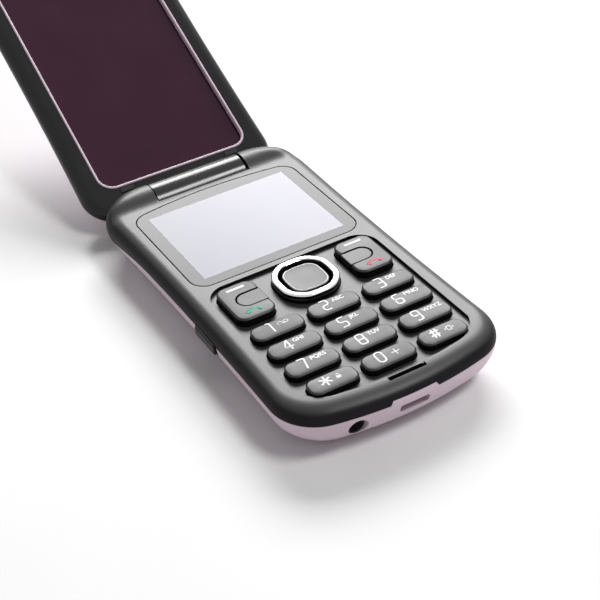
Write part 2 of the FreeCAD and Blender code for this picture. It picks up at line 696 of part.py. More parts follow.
def neck_shape(grow):
    """Barrel and the neck that carries it, in section across the hinge axis."""
    radius = n("knuckle_radius")
    half = n("barrel_length") / 2 + grow
    y, z = n("hinge_y"), n("hinge_z")
    back = n("cover_set_back") + 4.5
    top = n("cover_top_z") - 0.1
    tip = math.radians(20)
    points = [
        Vector(-half, y - back, n("cover_z")),
        Vector(-half, y - back, top),
        Vector(-half, y - 0.75 * radius, top),
        Vector(-half, y + 0.57 * radius, z + 1.28 * radius),
        Vector(-half, y + radius * math.cos(tip), z + radius * math.sin(tip)),
        Vector(-half, y, z),
        Vector(-half, y - 0.5 * radius, n("cover_z")),
    ]
    edges = [
        Part.LineSegment(points[0], points[1]).toShape(),
        Part.LineSegment(points[1], points[2]).toShape(),
        Part.Arc(points[2], points[3], points[4]).toShape(),
        Part.LineSegment(points[4], points[5]).toShape(),
        Part.LineSegment(points[5], points[6]).toShape(),
        Part.LineSegment(points[6], points[0]).toShape(),
    ]
    return Part.Face(Part.Wire(edges)).extrude(Vector(2 * half, 0, 0))


def knuckle_relief():
    """Room in the cover for the base's knuckles."""
    radius = n("knuckle_radius") + n("hinge_gap")
    half = n("barrel_length") / 2
    reach = n("base_width")
    room = rod(radius, -reach, -half, n("hinge_y"), n("hinge_z"))
    return room.fuse(rod(radius, half, reach, n("hinge_y"), n("hinge_z")))


def flap_frame_shape():
    sections = []
    for angle in (0, 30, 60, 90):
        turn = math.radians(angle)
        inward = 1 - math.cos(turn)
        z = n("cover_mid_z") - n("cover_split") * math.sin(turn)
        sections.append(cover_section(z, n("cover_round") * inward, n("cover_round") * inward))
    frame = ruled_loft(sections[::-1])
    frame = frame.cut(knuckle_relief())
    # seat for the bead and the panel, and a ledge behind the panel
    frame = frame.cut(bead_outline(0, n("cover_z") - 1, n("panel_z") + n("fit_gap")))
    frame = frame.cut(bead_outline(n("bead_width"), n("cover_z") - 1, n("ledge_z")))
    frame = frame.cut(bead_outline(n("bead_width") + n("panel_ledge"), n("cover_z") - 1, n("cover_top_z")))
    for side in (-1, 1):
        frame = frame.cut(block(side * n("pad_x"), n("hinge_y") - n("pad_run"), n("cover_z") - 1,
                                n("pad_length") + 2 * n("fit_gap"), n("pad_width") + 2 * n("fit_gap"),
                                1 + n("pad_seat") + n("fit_gap")))
    frame = frame.fuse(neck_shape(0))
    half = n("barrel_length") / 2
    frame = frame.fuse(rod(n("knuckle_radius"), -half, half, n("hinge_y"), n("hinge_z")))
    bore = n("shaft_radius") + n("running_fit")
    depth = n("shaft_reach") + 1
    frame = frame.cut(rod(bore, -half - 1, depth - half, n("hinge_y"), n("hinge_z")))
    frame = frame.cut(rod(bore, half - depth, half + 1, n("hinge_y"), n("hinge_z")))
    return frame.removeSplitter()


def flap_shell_shape():
    """Outer shell of the cover, hollow, open towards the inner frame."""
    outer = []
    inner = []
    rise = n("cover_thickness") - n("cover_split")
    wall = n("shell_wall")
    gap = n("fit_gap")
    for angle in (0, 20, 40, 60, 75, 90):
        turn = math.radians(angle)
        inward = 1 - math.cos(turn)
        z = n("cover_mid_z") + gap + (rise - gap) * math.sin(turn)
        outer.append(cover_section(z, n("shell_round") * inward, n("shell_round") * inward))
        z_in = n("cover_mid_z") - 1 + (rise + 1 - wall) * math.sin(turn)
        inner.append(cover_section(z_in, wall + n("shell_round") * inward, wall + n("shell_round") * inward))
    shell = ruled_loft(outer).cut(ruled_loft(inner))
    shell = shell.cut(knuckle_relief())
    neck = block(0, n("hinge_y"), n("cover_mid_z") - 1, n("barrel_length") + 4 * gap,
                 2 * (n("cover_set_back") + 4.5 + gap), n("cover_thickness"))
    return shell.cut(neck)


def bead_shape():
    low = n("cover_z") - n("bead_proud")
    high = n("panel_z")
    ring = bead_outline(n("fit_gap") / 2, low, high)
    return ring.cut(bead_outline(n("bead_width"), low - 1, high + 1))


def flap_panel_shape():
    low = n("panel_z")
    panel = bead_outline(n("bead_width") + n("fit_gap"), low + n("fit_gap") / 2, low + n("panel_thickness"))
    y = n("hinge_y") - n("ear_row")
    half = n("ear_width") / 2
    slot = rounded_prism(0, n("ear_length") / 2, y - half, y + half, half * 0.95, low - 1, low + 3)
    return panel.cut(slot)


# Objects of the document that are bound to the sheet

def feature(label, shape):
    """Piece whose form follows curves that no primitive or sketch pad gives."""
    obj = doc.addObject("Part::Feature", label)
    obj.Shape = shape
    return keep(obj, label)


def bound(obj, **formulas):
    """Tie properties to sheet formulas; dots in a path are written as double underscores."""
    for path, formula in formulas.items():
        obj.setExpression(path.replace("__", "."), formula)
    return obj


def named(formula):
    """Put the sheet's name before every alias in a formula."""
    return re.sub("([a-z][a-z_]*)", r"sizes.\1", formula)


def box(label, width, depth, height, x, y, z):
    """Box centred on x and y, standing on z."""
    obj = doc.addObject("Part::Box", label)
    bound(obj, Length=named(width), Width=named(depth), Height=named(height),
          Placement__Base__x=named("%s - (%s) / 2" % (x, width)),
          Placement__Base__y=named("%s - (%s) / 2" % (y, depth)),
          Placement__Base__z=named(z))
    return obj


AXIS_TURN = {
    "x": Rotation(Vector(0, 1, 0), 90),
    "y": Rotation(Vector(1, 0, 0), -90),
    "z": Rotation(),
}


def cylinder(label, radius, length, x, y, z, axis="z"):
    """Cylinder that starts at a point and runs along an axis."""
    obj = doc.addObject("Part::Cylinder", label)
    obj.Placement = FreeCAD.Placement(Vector(), AXIS_TURN[axis])
    bound(obj, Radius=named(radius), Height=named(length), Placement__Base__x=named(x),
          Placement__Base__y=named(y), Placement__Base__z=named(z))
    return obj


def difference(label, base, tool):
    obj = doc.addObject("Part::Cut", label)
    obj.Base = base
    obj.Tool = tool
    return obj


def union(label, pieces):
    obj = doc.addObject("Part::MultiFuse", label)
    obj.Shapes = pieces
    return obj


def group(label, pieces):
    """Identical pieces that share one node."""
    obj = doc.addObject("Part::Compound", label)
    obj.Links = pieces
    return keep(obj, label)


def rounded_sketch(body, name, width, depth, corner):
    """Sketch of a rectangle with round corners about the body's origin."""
    sketch = body.newObject("Sketcher::SketchObject", name)
    plane = [item for item in body.Origin.OriginFeatures if item.Role == "XY_Plane"][0]
    sketch.AttachmentSupport = [(plane, "")]
    sketch.MapMode = "FlatFace"
    x, y, r = 4.0, 3.0, 1.0
    lines = [((-x + r, -y), (x - r, -y)), ((x, -y + r), (x, y - r)),
             ((x - r, y), (-x + r, y)), ((-x, y - r), (-x, -y + r))]
    for start, stop in lines:
        sketch.addGeometry(Part.LineSegment(Vector(*start, 0), Vector(*stop, 0)), False)
    centres = [(x - r, -y + r, -90), (x - r, y - r, 0), (-x + r, y - r, 90), (-x + r, -y + r, 180)]
    for cx, cy, angle in centres:
        circle = Part.Circle(Vector(cx, cy, 0), Vector(0, 0, 1), r)
        start = math.radians(angle)
        sketch.addGeometry(Part.ArcOfCircle(circle, start, start + math.pi / 2), False)
    rule = Sketcher.Constraint
    rules = []
    for index in range(4):
        rules.append(rule("Tangent", index, 2, 4 + index, 1))
        rules.append(rule("Tangent", 4 + index, 2, (index + 1) % 4, 1))
    rules += [rule("Horizontal", 0), rule("Vertical", 1), rule("Horizontal", 2), rule("Vertical", 3)]
    rules += [rule("Equal", 4, 5), rule("Equal", 4, 6), rule("Equal", 4, 7)]
    rules.append(rule("Symmetric", 4, 3, 6, 3, -1, 1))
    sketch.addConstraint(rules)
    sizes = (("width", rule("DistanceX", 3, 1, 1, 1, 2 * x), width),
             ("depth", rule("DistanceY", 0, 1, 2, 1, 2 * y), depth),
             ("corner", rule("Radius", 4, r), corner))
    for title, constraint, formula in sizes:
        index = sketch.addConstraint(constraint)
        sketch.renameConstraint(index, title)
        sketch.setExpression("Constraints." + title, named(formula))
    sketch.Visibility = False
    return sketch


def pad(body, name, sketch, length):
    obj = body.newObject("PartDesign::Pad", name)
    obj.Profile = sketch
    bound(obj, Length=named(length))
    return obj


def bevel_top(body, name, size):
    """Chamfer round the top face of the body's tip."""
    doc.recompute()
    block_tip = body.Tip
    top = block_tip.Shape.BoundBox.ZMax
    edges = []
    for index, edge in enumerate(block_tip.Shape.Edges, start=1):
        if edge.BoundBox.ZMin > top - 0.01:
            edges.append("Edge%d" % index)
    obj = body.newObject("PartDesign::Chamfer", name)
    obj.Base = (block_tip, edges)
    bound(obj, Size=named(size))
    return obj


def place(obj, x, y, z):
    return bound(obj, Placement__Base__x=named(x), Placement__Base__y=named(y), Placement__Base__z=named(z))


def key_solid(label, width, depth, corner, rise, x, y, lip, round_lip=False):
    """Moulded key: a flange that stays under the floor and a cap that comes through it."""
    lip_width, lip_depth = ("%s + 2 * %s" % (side, lip) for side in (width, depth))
    if round_lip:
        flange = plate_body(label + "_flange", lip_width, lip_depth, "%s + %s" % (corner, lip), "flange_thickness",
                            x, y, "flange_z")
    else:
        flange = box(label + "_flange", lip_width, lip_depth, "flange_thickness", x, y, "flange_z")
    cap = doc.addObject("PartDesign::Body", label + "_cap")
    plan = rounded_sketch(cap, label + "_plan", width, depth, corner)
    pad(cap, label + "_block", plan, "base_thickness + %s - flange_z" % rise)
    bevel_top(cap, label + "_edge", "key_edge")
    place(cap, x, y, "flange_z")
    return union(label, [flange, cap])


def plate_body(label, width, depth, corner, thickness, x, y, z):
    """Flat plate with round corners."""
    body = doc.addObject("PartDesign::Body", label)
    pad(body, label + "_plate", rounded_sketch(body, label + "_plan", width, depth, corner), thickness)
    place(body, x, y, z)
    return body


# Shells and fixed pieces of the base

feature("front_shell", front_shell_shape())
feature("rear_cover", rear_cover_shape())
feature("mid_frame", mid_frame_shape())
feature("main_board", board_shape())
feature("display_lens", lens_solid(n("lens_seat_z") + n("fit_gap"), n("base_thickness"), 0))

keep(box("lcd_module", "module_width", "module_height", "module_thickness", "0", "screen_y", "module_z"),
     "lcd_module")
mat_y = "screen_y - (mat_top + mat_bottom) / 2"
keep(box("keypad_mat", "2 * mat_half", "mat_bottom - mat_top", "mat_thickness", "0", mat_y, "mat_z"), "keypad_mat")
keep(box("dome_sheet", "2 * mat_half", "mat_bottom - mat_top", "dome_thickness", "0", mat_y, "dome_z"), "dome_sheet")
keep(plate_body("battery", "battery_width", "battery_length", "bay_wall * 2", "battery_thickness",
                "0", "battery_y", "battery_z"), "battery")

contacts = []
for index in (-1, 0, 1):
    contacts.append(box("contact_%d" % (index + 2), "contact_width", "contact_room - 2 * fit_gap", "contact_height",
                        "%d * contact_pitch" % index, "battery_y + battery_length / 2 + fit_gap + contact_room / 2",
                        "battery_z + battery_thickness / 3"))
group("battery_contacts", contacts)

under_plate = "plate_z - fit_gap"
row_y = "hinge_y - speaker_row"
keep(box("sim_holder", "sim_width", "sim_length", "sim_thickness", "sim_x", row_y,
         under_plate + " - sim_thickness"), "sim_holder")
keep(plate_body("loudspeaker", "speaker_width", "speaker_length", "speaker_thickness / 2", "speaker_thickness",
                "speaker_x", row_y, "wall + 2 * fit_gap"), "loudspeaker")
keep(cylinder("vibration_motor", "motor_radius", "motor_length", "motor_x", row_y + " - motor_length / 2",
              under_plate + " - motor_radius", "y"), "vibration_motor")
keep(cylinder("microphone", "microphone_radius", "under_floor_z - module_z - fit_gap", "microphone_x",
              "screen_y - recess_bottom", "module_z"), "microphone")
keep(box("antenna", "antenna_width", "antenna_length", "antenna_thickness", "0",
         "battery_y - battery_length / 2 - bay_wall * 4", "wall + fit_gap"), "antenna")

camera_low = "wall + 8 * fit_gap"
camera_box = box("camera_block", "camera_size", "camera_size", under_plate + " - (%s)" % camera_low, "camera_x",
                 row_y, camera_low)
camera_barrel = cylinder("camera_barrel", "camera_size / 3", "wall + fit_gap", "camera_x", row_y, "wall - fit_gap")
keep(union("camera_module", [camera_box, camera_barrel]), "camera_module")
keep(cylinder("camera_window", "camera_window - fit_gap", "wall - 6 * fit_gap", "camera_x", row_y,
              "3 * fit_gap"), "camera_window")

# Sockets

usb_start = "end_y + wall + usb_set"
usb_outer = box("usb_outer", "usb_width + 2 * usb_shell", "usb_depth", "usb_height + 2 * usb_shell", "usb_x",
                usb_start + " + usb_depth / 2", "usb_z - usb_height / 2 - usb_shell")
usb_inner = box("usb_inner", "usb_width", "usb_depth", "usb_height", "usb_x",
                usb_start + " + usb_depth / 2 - 2 * usb_shell", "usb_z - usb_height / 2")
usb_tongue = box("usb_tongue", "usb_width * 0.55", "usb_depth - 4 * usb_shell", "usb_height / 4", "usb_x",
                 usb_start + " + usb_depth / 2 + usb_shell", "usb_z")
keep(union("usb_socket", [difference("usb_sleeve", usb_outer, usb_inner), usb_tongue]), "usb_socket")

jack_block = box("jack_block", "jack_body", "jack_length", "jack_body", "jack_x",
                 "end_y + jack_inset + jack_length / 2", "jack_z - jack_body / 2")
jack_nose = cylinder("jack_nose_ring", "jack_radius + jack_rim", "jack_nose + fit_gap", "jack_x",
                     "end_y + jack_inset - jack_nose", "jack_z", "y")
jack_hole = cylinder("jack_hole", "jack_radius", "jack_length + jack_nose - fit_gap * 8", "jack_x",
                     "end_y + jack_inset - jack_nose", "jack_z", "y")
keep(difference("audio_jack", union("jack_solid", [jack_block, jack_nose]), jack_hole), "audio_jack")

# Side key and its switch

flange_x = "(base_width / 2 - wall - side_curve)"
side_y = "screen_y - side_key_row"
side_cap_length = "(base_width / 2 + side_key_proud - %s + side_flange / 2)" % flange_x
side_cap = box("side_cap", side_cap_length, "side_key_length", "side_key_height",
               "-base_width / 2 - side_key_proud + %s / 2" % side_cap_length, side_y,
               "side_key_z - side_key_height / 2")
side_edges = doc.addObject("Part::Fillet", "side_cap_edges")
side_edges.Base = side_cap
doc.recompute()
outer_x = side_cap.Shape.BoundBox.XMin
side_edges.Edges = [(index, 0.45, 0.45) for index, edge in enumerate(side_cap.Shape.Edges, start=1)
                    if edge.BoundBox.XMax < outer_x + 0.01]
side_foot = box("side_foot", "side_flange", "side_key_length + 4 * side_lip", "side_key_height + 2 * side_lip",
                "-%s + side_flange / 2" % flange_x, side_y, "side_key_z - side_key_height / 2 - side_lip")
keep(union("side_key", [side_edges, side_foot]), "side_key")
switch_x = "-%s + side_flange + key_travel + fit_gap" % flange_x
keep(box("side_switch", "switch_width", "switch_length", "switch_height", switch_x + " + switch_width / 2", side_y,
         "module_z"), "side_switch")

# Keys

for name, (x, y, width) in key_places().items():
    row_index = [name in names for names in KEY_NAMES].index(True)
    column = KEY_NAMES[row_index].index(name) - 1
    trimmed = name in ("key_star", "key_hash")
    trim = " - end_key_trim" if trimmed else ""
    x_formula = "%d * key_pitch_x" % column + (" - %d * end_key_trim / 2" % column if trimmed else "")
    keep(key_solid(name, "key_width" + trim, "key_depth", "key_corner", "key_rise", x_formula,
                  "screen_y - first_row - %d * key_pitch_y" % row_index, "key_flange"), name)

soft_y = "screen_y - soft_row"
nav_outer = key_solid("nav_outer", "nav_size", "nav_size", "nav_corner", "nav_rise", "0", soft_y, "key_flange")
nav_hole = plate_body("nav_hole", "nav_size - 2 * nav_band", "nav_size - 2 * nav_band", "nav_corner - nav_band",
                      "base_thickness", "0", soft_y, "floor_z / 2")
keep(difference("nav_ring", nav_outer, nav_hole), "nav_ring")
keep(key_solid("select_key", "select_size", "select_size", "select_corner", "select_rise", "0", soft_y,
              "select_flange", True), "select_key")

tongues = []
for side, word in ((-1, "left"), (1, "right")):
    rocker = key_solid("rocker_%s_blank" % word, "soft_width", "soft_depth", "soft_corner", "soft_rise",
                      "%d * soft_x" % side, soft_y, "key_flange")
    inner = "(soft_x - soft_width / 2)"
    bend = "(%s + tongue_length - tongue_width / 2)" % inner
    start = "(%s - 3 * key_flange)" % inner
    slot = box("slot_%s" % word, "%s - %s" % (bend, start), "tongue_width + 2 * tongue_gap", "base_thickness",
               "%d * (%s + %s) / 2" % (side, bend, start), soft_y, "floor_z / 2")
    slot_end = cylinder("slot_end_%s" % word, "tongue_width / 2 + tongue_gap", "base_thickness",
                        "%d * %s" % (side, bend), soft_y, "floor_z / 2")
    keep(difference("rocker_%s" % word, rocker, union("groove_%s" % word, [slot, slot_end])), "rocker_%s" % word)
    foot = "mat_z + mat_thickness + fit_gap / 2"
    rise = "base_thickness + soft_rise - fit_gap - (%s)" % foot
    arm = box("tongue_arm_%s" % word, "%s - %s" % (bend, inner), "tongue_width", rise,
              "%d * (%s + %s) / 2" % (side, bend, inner), soft_y, foot)
    arm_end = cylinder("tongue_end_%s" % word, "tongue_width / 2", rise, "%d * %s" % (side, bend), soft_y, foot)
    tongues.append(union("tongue_%s" % word, [arm, arm_end]))
group("soft_key_tongues", tongues)

# Hinge pieces that stay in the base

cartridge_body = cylinder("cartridge_body", "cartridge_radius", "cartridge_length - 2 * fit_gap",
                          "-notch_width / 2 - cartridge_length + fit_gap", "hinge_y", "hinge_z", "x")
cartridge_bore = cylinder("cartridge_bore", "shaft_radius + running_fit", "shaft_bite + fit_gap + 1",
                          "-notch_width / 2 - shaft_bite - fit_gap", "hinge_y", "hinge_z", "x")
keep(difference("hinge_cartridge", cartridge_body, cartridge_bore), "hinge_cartridge")
tube_body = cylinder("tube_body", "shaft_radius", "2 * shaft_reach - fit_gap", "notch_width / 2 - shaft_reach",
                     "hinge_y", "hinge_z", "x")
tube_way = cylinder("tube_way", "tube_bore", "3 * shaft_reach", "notch_width / 2 - 1.5 * shaft_reach", "hinge_y",
                    "hinge_z", "x")
keep(difference("hinge_tube", tube_body, tube_way), "hinge_tube")

# Cover: every piece is drawn shut and then swung to its open stop

swing = Rotation(Vector(1, 0, 0), -n("open_angle"))
hinge = Vector(0, n("hinge_y"), n("hinge_z"))
open_place = FreeCAD.Placement(hinge - swing.multVec(hinge), swing)


def cover_piece(label, pieces):
    """Node of the cover, made of pieces in their shut place."""
    obj = group(label, pieces)
    obj.Placement = open_place
    return obj


for label, shape in (("flap_frame", flap_frame_shape()), ("flap_shell", flap_shell_shape()),
                     ("flap_bead", bead_shape()), ("flap_panel", flap_panel_shape())):
    obj = feature(label, shape)
    obj.Placement = open_place

ear_y = "hinge_y - ear_row"
cover_piece("earpiece", [box("earpiece_drum", "earpiece_length", "earpiece_width", "earpiece_thickness", "0", ear_y,
                             "ledge_z + fit_gap")])
cover_piece("earpiece_mesh", [plate_body("earpiece_gauze", "ear_length - 2 * fit_gap", "ear_width - 2 * fit_gap",
                                         "ear_width / 2 - 2 * fit_gap", "4 * fit_gap", "0", ear_y,
                                         "panel_z + 3 * fit_gap")])
cover_piece("flap_magnet", [box("magnet_bar", "magnet_length", "magnet_width", "magnet_thickness", "magnet_x",
                                "hinge_y - magnet_run", "ledge_z + fit_gap")])
pads = []
for side, word in ((-1, "left"), (1, "right")):
    pads.append(box("pad_%s" % word, "pad_length", "pad_width", "pad_proud + pad_seat", "%d * pad_x" % side,
                    "hinge_y - pad_run", "cover_z - pad_proud"))
cover_piece("flap_bumpers", pads)
cover_piece("hinge_shaft", [cylinder("shaft_rod", "shaft_radius", "shaft_bite + barrel_side_gap + shaft_reach",
                                     "-notch_width / 2 - shaft_bite", "hinge_y", "hinge_z", "x")])

doc.recompute()
for obj in doc.Objects:
    if "Invalid" in obj.State or "Error" in obj.State:
        raise RuntimeError("%s did not rebuild" % obj.Name)
os.makedirs("parts", exist_ok=True)
for obj in subparts:
    shape = obj.Shape
    if shape.isNull() or not shape.isValid() or not shape.Solids:
        raise RuntimeError("%s has no valid solid" % obj.Label)
    shape.exportStep("parts/%s.step" % obj.Label)
print("%d pieces" % len(subparts))
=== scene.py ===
import math

import bmesh
import bpy
from mathutils import Matrix, Vector


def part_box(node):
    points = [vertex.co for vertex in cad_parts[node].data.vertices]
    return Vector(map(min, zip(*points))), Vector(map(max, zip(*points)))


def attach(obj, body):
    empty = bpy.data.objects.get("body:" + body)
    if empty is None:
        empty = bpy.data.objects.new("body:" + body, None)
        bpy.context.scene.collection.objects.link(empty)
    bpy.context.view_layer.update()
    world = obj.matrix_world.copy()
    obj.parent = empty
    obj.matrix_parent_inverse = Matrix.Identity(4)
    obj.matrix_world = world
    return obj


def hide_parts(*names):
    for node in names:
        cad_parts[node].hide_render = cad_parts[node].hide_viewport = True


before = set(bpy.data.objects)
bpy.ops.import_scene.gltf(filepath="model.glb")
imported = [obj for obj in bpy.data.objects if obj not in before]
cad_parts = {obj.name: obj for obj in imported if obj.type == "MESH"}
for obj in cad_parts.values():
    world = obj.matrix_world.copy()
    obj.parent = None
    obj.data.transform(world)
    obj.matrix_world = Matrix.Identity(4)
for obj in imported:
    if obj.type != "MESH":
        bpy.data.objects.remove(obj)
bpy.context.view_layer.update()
mm = 0.001  # all sizes below are millimetres in the row frame
closeSeam = 0.0001  # weld for a ring's first and last outline, which coincide
print("frame loaded:", len(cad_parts), "nodes")


# ---- nodes ----

def feed(tree, node, inputs):
    # each socket gets a value, or a link from the socket given
    for title, value in inputs.items():
        if isinstance(value, bpy.types.NodeSocket):
            tree.links.new(value, node.inputs[title])
        else:
            node.inputs[title].default_value = value
    return node


def addNode(tree, kind, inputs=None, **settings):
    node = tree.nodes.new(kind)
    for title, value in settings.items():
        setattr(node, title, value)
    return feed(tree, node, inputs or {})


def maths(tree, kind, a, b=0.0):
    return addNode(tree, "ShaderNodeMath", {0: a, 1: b}, operation=kind).outputs[0]


def blended(tree, factor, first, second):
    # first and second are colours, or sockets that give one
    a, b = ((*tone, 1) if isinstance(tone, tuple) else tone for tone in (first, second))
    return addNode(tree, "ShaderNodeMix", {0: factor, 6: a, 7: b}, data_type="RGBA").outputs[2]


def ranged(tree, value, low, high, least=0.0, most=1.0, curve="LINEAR"):
    # value's stretch from low to high, spread from least to most
    limits = {"From Min": low, "From Max": high, "To Min": least, "To Max": most}
    return addNode(tree, "ShaderNodeMapRange", {"Value": value, **limits}, interpolation_type=curve).outputs[0]


def coords(tree, kind="Object"):
    return addNode(tree, "ShaderNodeTexCoord").outputs[kind]


def axes(tree, kind="Object"):
    return addNode(tree, "ShaderNodeSeparateXYZ", {0: coords(tree, kind)}).outputs


def newGroup(name, inputs, outputs):
    group = bpy.data.node_groups.new(name, "ShaderNodeTree")
    for title, default in inputs.items():
        socket = group.interface.new_socket(title, in_out="INPUT", socket_type="NodeSocketFloat")
        socket.default_value = default
    for title in outputs:
        group.interface.new_socket(title, in_out="OUTPUT", socket_type="NodeSocketFloat")
    return group, group.nodes.new("NodeGroupInput").outputs


def makeUneven():
    # slow change over a surface, for handling marks and uneven gloss
    group, given = newGroup("uneven", {"Scale": 60.0, "Low": 0.3, "High": 0.4}, ["Value", "Mask"])
    place = {"Vector": coords(group), "Scale": given["Scale"]}
    mask = addNode(group, "ShaderNodeTexNoise", {**place, "Detail": 5.0}).outputs["Fac"]
    spread = ranged(group, mask, 0.3, 0.7, given["Low"], given["High"])
    addNode(group, "NodeGroupOutput", {"Value": spread, "Mask": mask})
    return group


def makeGrain():
    # fine moulded grain, as a height
    group, given = newGroup("grain", {"Scale": 4000.0, "Soft": 0.5}, ["Height"])
    place = {"Vector": coords(group), "Scale": given["Scale"]}
    noise = addNode(group, "ShaderNodeTexNoise", {**place, "Detail": 2.0})
    cells = addNode(group, "ShaderNodeTexVoronoi", place)
    mix = addNode(group, "ShaderNodeMix", {"Factor": given["Soft"], "A": cells.outputs["Distance"],
                                           "B": noise.outputs["Fac"]})
    addNode(group, "NodeGroupOutput", {"Height": mix.outputs["Result"]})
    return group


uneven = makeUneven()
grain = makeGrain()


# ---- finishes ----

def look(color, tint, rough, grain, bump, **more):
    # two tones that mix, least and most roughness, scale and height of the grain, and what else the shader takes
    return {"color": color, "tint": tint, "rough": rough, "grain": grain, "bump": bump, **more}


finishes = {
    # darkShell carries a painted sheen: a coat only on the faces that look up
    "darkShell": look((0.01, 0.009, 0.01), (0.016, 0.014, 0.016), (0.36, 0.44), 4200, 0.1, specular=0.07,
                      coatRough=0.4, sheen=(0.7, 0.96, 0.0, 0.75)),
    "barrelShell": look((0.01, 0.01, 0.01), (0.016, 0.015, 0.016), (0.14, 0.19), 4200, 0.05, specular=0.42),
    "paleShell": look((0.64, 0.5, 0.58), (0.7, 0.56, 0.64), (0.3, 0.38), 3000, 0.02, specular=0.4,
                      # dark patch on the side under the side key
                      inlay={"y": -8.85, "half": 4.85, "x": -22.5, "z": 4.0, "soft": 0.05,
                             "color": (0.006, 0.006, 0.006)}),
    "blackGloss": look((0.006, 0.005, 0.006), (0.01, 0.009, 0.01), (0.12, 0.2), 3000, 0.01, specular=0.25),
    "darkPanel": look((0.032, 0.007, 0.02), (0.042, 0.012, 0.027), (0.08, 0.14), 900, 0.004, specular=0.16),
    "keyTop": look((0.028, 0.026, 0.028), (0.038, 0.035, 0.038), (0.32, 0.4), 4200, 0.04, specular=0.28),
    # black of the side key, and painted shade on key sides, opening walls and the hinge notch
    "blackAndPaintedShade": look((0.003, 0.003, 0.003), (0.005, 0.005, 0.005), (0.22, 0.3), 4000, 0.01, specular=0.15),
    "selectTop": look((0.03, 0.029, 0.032), (0.05, 0.048, 0.052), (0.3, 0.4), 4200, 0.012, specular=0.26),
    "legend": look((0.8, 0.8, 0.81), (0.88, 0.88, 0.89), (0.4, 0.5), 6000, 0.02),
    "greenLegend": look((0.02, 0.32, 0.17), (0.03, 0.38, 0.21), (0.4, 0.5), 6000, 0.02, specular=0.3),
    "redLegend": look((0.55, 0.06, 0.12), (0.62, 0.09, 0.16), (0.4, 0.5), 6000, 0.02, specular=0.3),
    "chrome": look((0.66, 0.65, 0.66), (0.74, 0.73, 0.74), (0.13, 0.19), 2000, 0.004, metal=1.0),
    "rimGrey": look((0.4, 0.4, 0.42), (0.48, 0.48, 0.5), (0.3, 0.4), 4000, 0.01, specular=0.4),
    "steel": look((0.5, 0.5, 0.5), (0.6, 0.6, 0.6), (0.25, 0.4), 2500, 0.03, metal=1.0),
    "brass": look((0.62, 0.47, 0.2), (0.7, 0.55, 0.28), (0.25, 0.4), 2500, 0.03, metal=1.0),
    "innerPlastic": look((0.02, 0.02, 0.02), (0.035, 0.035, 0.035), (0.5, 0.65), 2600, 0.08),
    "boardGreen": look((0.01, 0.08, 0.03), (0.02, 0.13, 0.05), (0.3, 0.45), 1500, 0.05),
    "rubber": look((0.01, 0.01, 0.011), (0.018, 0.018, 0.02), (0.6, 0.75), 2600, 0.1, specular=0.2),
    "cellFilm": look((0.1, 0.1, 0.13), (0.14, 0.14, 0.17), (0.35, 0.5), 1200, 0.03),
    "darkGlass": look((0.01, 0.01, 0.014), (0.016, 0.016, 0.022), (0.03, 0.07), 900, 0.002, coat=0.5),
}


def addDarkPatch(tree, colour, inlay):
    # dark stretch of the side under the side key
    at = axes(tree)
    off = maths(tree, "ABSOLUTE", maths(tree, "SUBTRACT", at["Y"], inlay["y"] * mm))
    inside = maths(tree, "SUBTRACT", inlay["half"] * mm, off)
    left = maths(tree, "SUBTRACT", inlay["x"] * mm, at["X"])
    above = maths(tree, "SUBTRACT", at["Z"], inlay["z"] * mm)
    least = maths(tree, "MINIMUM", inside, maths(tree, "MINIMUM", left, above))
    soft = inlay["soft"] * mm
    return blended(tree, ranged(tree, least, -soft, soft), colour, inlay["color"])


def paintedSheenMask(tree, sheen):
    # painted sheen: a coat on the faces that look up, so they catch the light, while the sides stay dark
    return ranged(tree, axes(tree, "Normal")["Z"], *sheen, "SMOOTHSTEP")


def newMaterial(name):
    material = bpy.data.materials.new(name)
    material.use_nodes = True
    return material, material.node_tree, material.node_tree.nodes["Principled BSDF"]


def makeFinish(name, spec):
    material, tree, shader = newMaterial(name)
    low, high = spec["rough"]
    cloud = addNode(tree, "ShaderNodeGroup", {"Scale": 90.0, "Low": low, "High": high}, node_tree=uneven)
    colour = blended(tree, cloud.outputs["Mask"], spec["color"], spec["tint"])
    if "inlay" in spec:
        colour = addDarkPatch(tree, colour, spec["inlay"])
    texture = addNode(tree, "ShaderNodeGroup", {"Scale": spec["grain"]}, node_tree=grain)
    bump = addNode(tree, "ShaderNodeBump", {"Height": texture.outputs["Height"], "Strength": spec["bump"],
                                            "Distance": 0.1 * mm})
    coat = paintedSheenMask(tree, spec["sheen"]) if "sheen" in spec else spec.get("coat", 0.0)
    feed(tree, shader, {"Base Color": colour, "Roughness": cloud.outputs["Value"], "Normal": bump.outputs["Normal"],
                        "Metallic": spec.get("metal", 0.0), "Specular IOR Level": spec.get("specular", 0.5),
                        "Coat Weight": coat, "Coat Roughness": spec.get("coatRough", 0.04)})
    return material


materials = {name: makeFinish(name, spec) for name, spec in finishes.items()}
print("finishes made:", len(materials))


# ---- mesh helpers ----

def addObject(name, data):
    made = bpy.data.objects.new(name, data)
    bpy.context.scene.collection.objects.link(made)
    return made


def newObject(name, points, faces):
    mesh = bpy.data.meshes.new(name)
    mesh.from_pydata([Vector(p) * mm for p in points], [], faces)
    return outward(addObject(name, mesh))


def outward(shape, weld=0.0):
    # normals to the outside, after merging corners closer than weld
    work = bmesh.new()
    work.from_mesh(shape.data)
    if weld:
        bmesh.ops.remove_doubles(work, verts=work.verts, dist=weld * mm)
    bmesh.ops.recalc_face_normals(work, faces=work.faces)
    work.to_mesh(shape.data)
    work.free()
    return shape


def bake(shape):
    # turns the modifiers' result into the plain mesh
    view = bpy.context.evaluated_depsgraph_get()
    view.update()
    made = bpy.data.meshes.new_from_object(shape.evaluated_get(view), preserve_all_data_layers=True, depsgraph=view)
    shape.modifiers.clear()
    shape.data = made


def carve(shape, cutter, operation="DIFFERENCE"):
    change = shape.modifiers.new("carve", "BOOLEAN")
    change.operation = operation
    change.solver = "EXACT"
    change.object = cutter
    bake(shape)
    bpy.data.objects.remove(cutter)


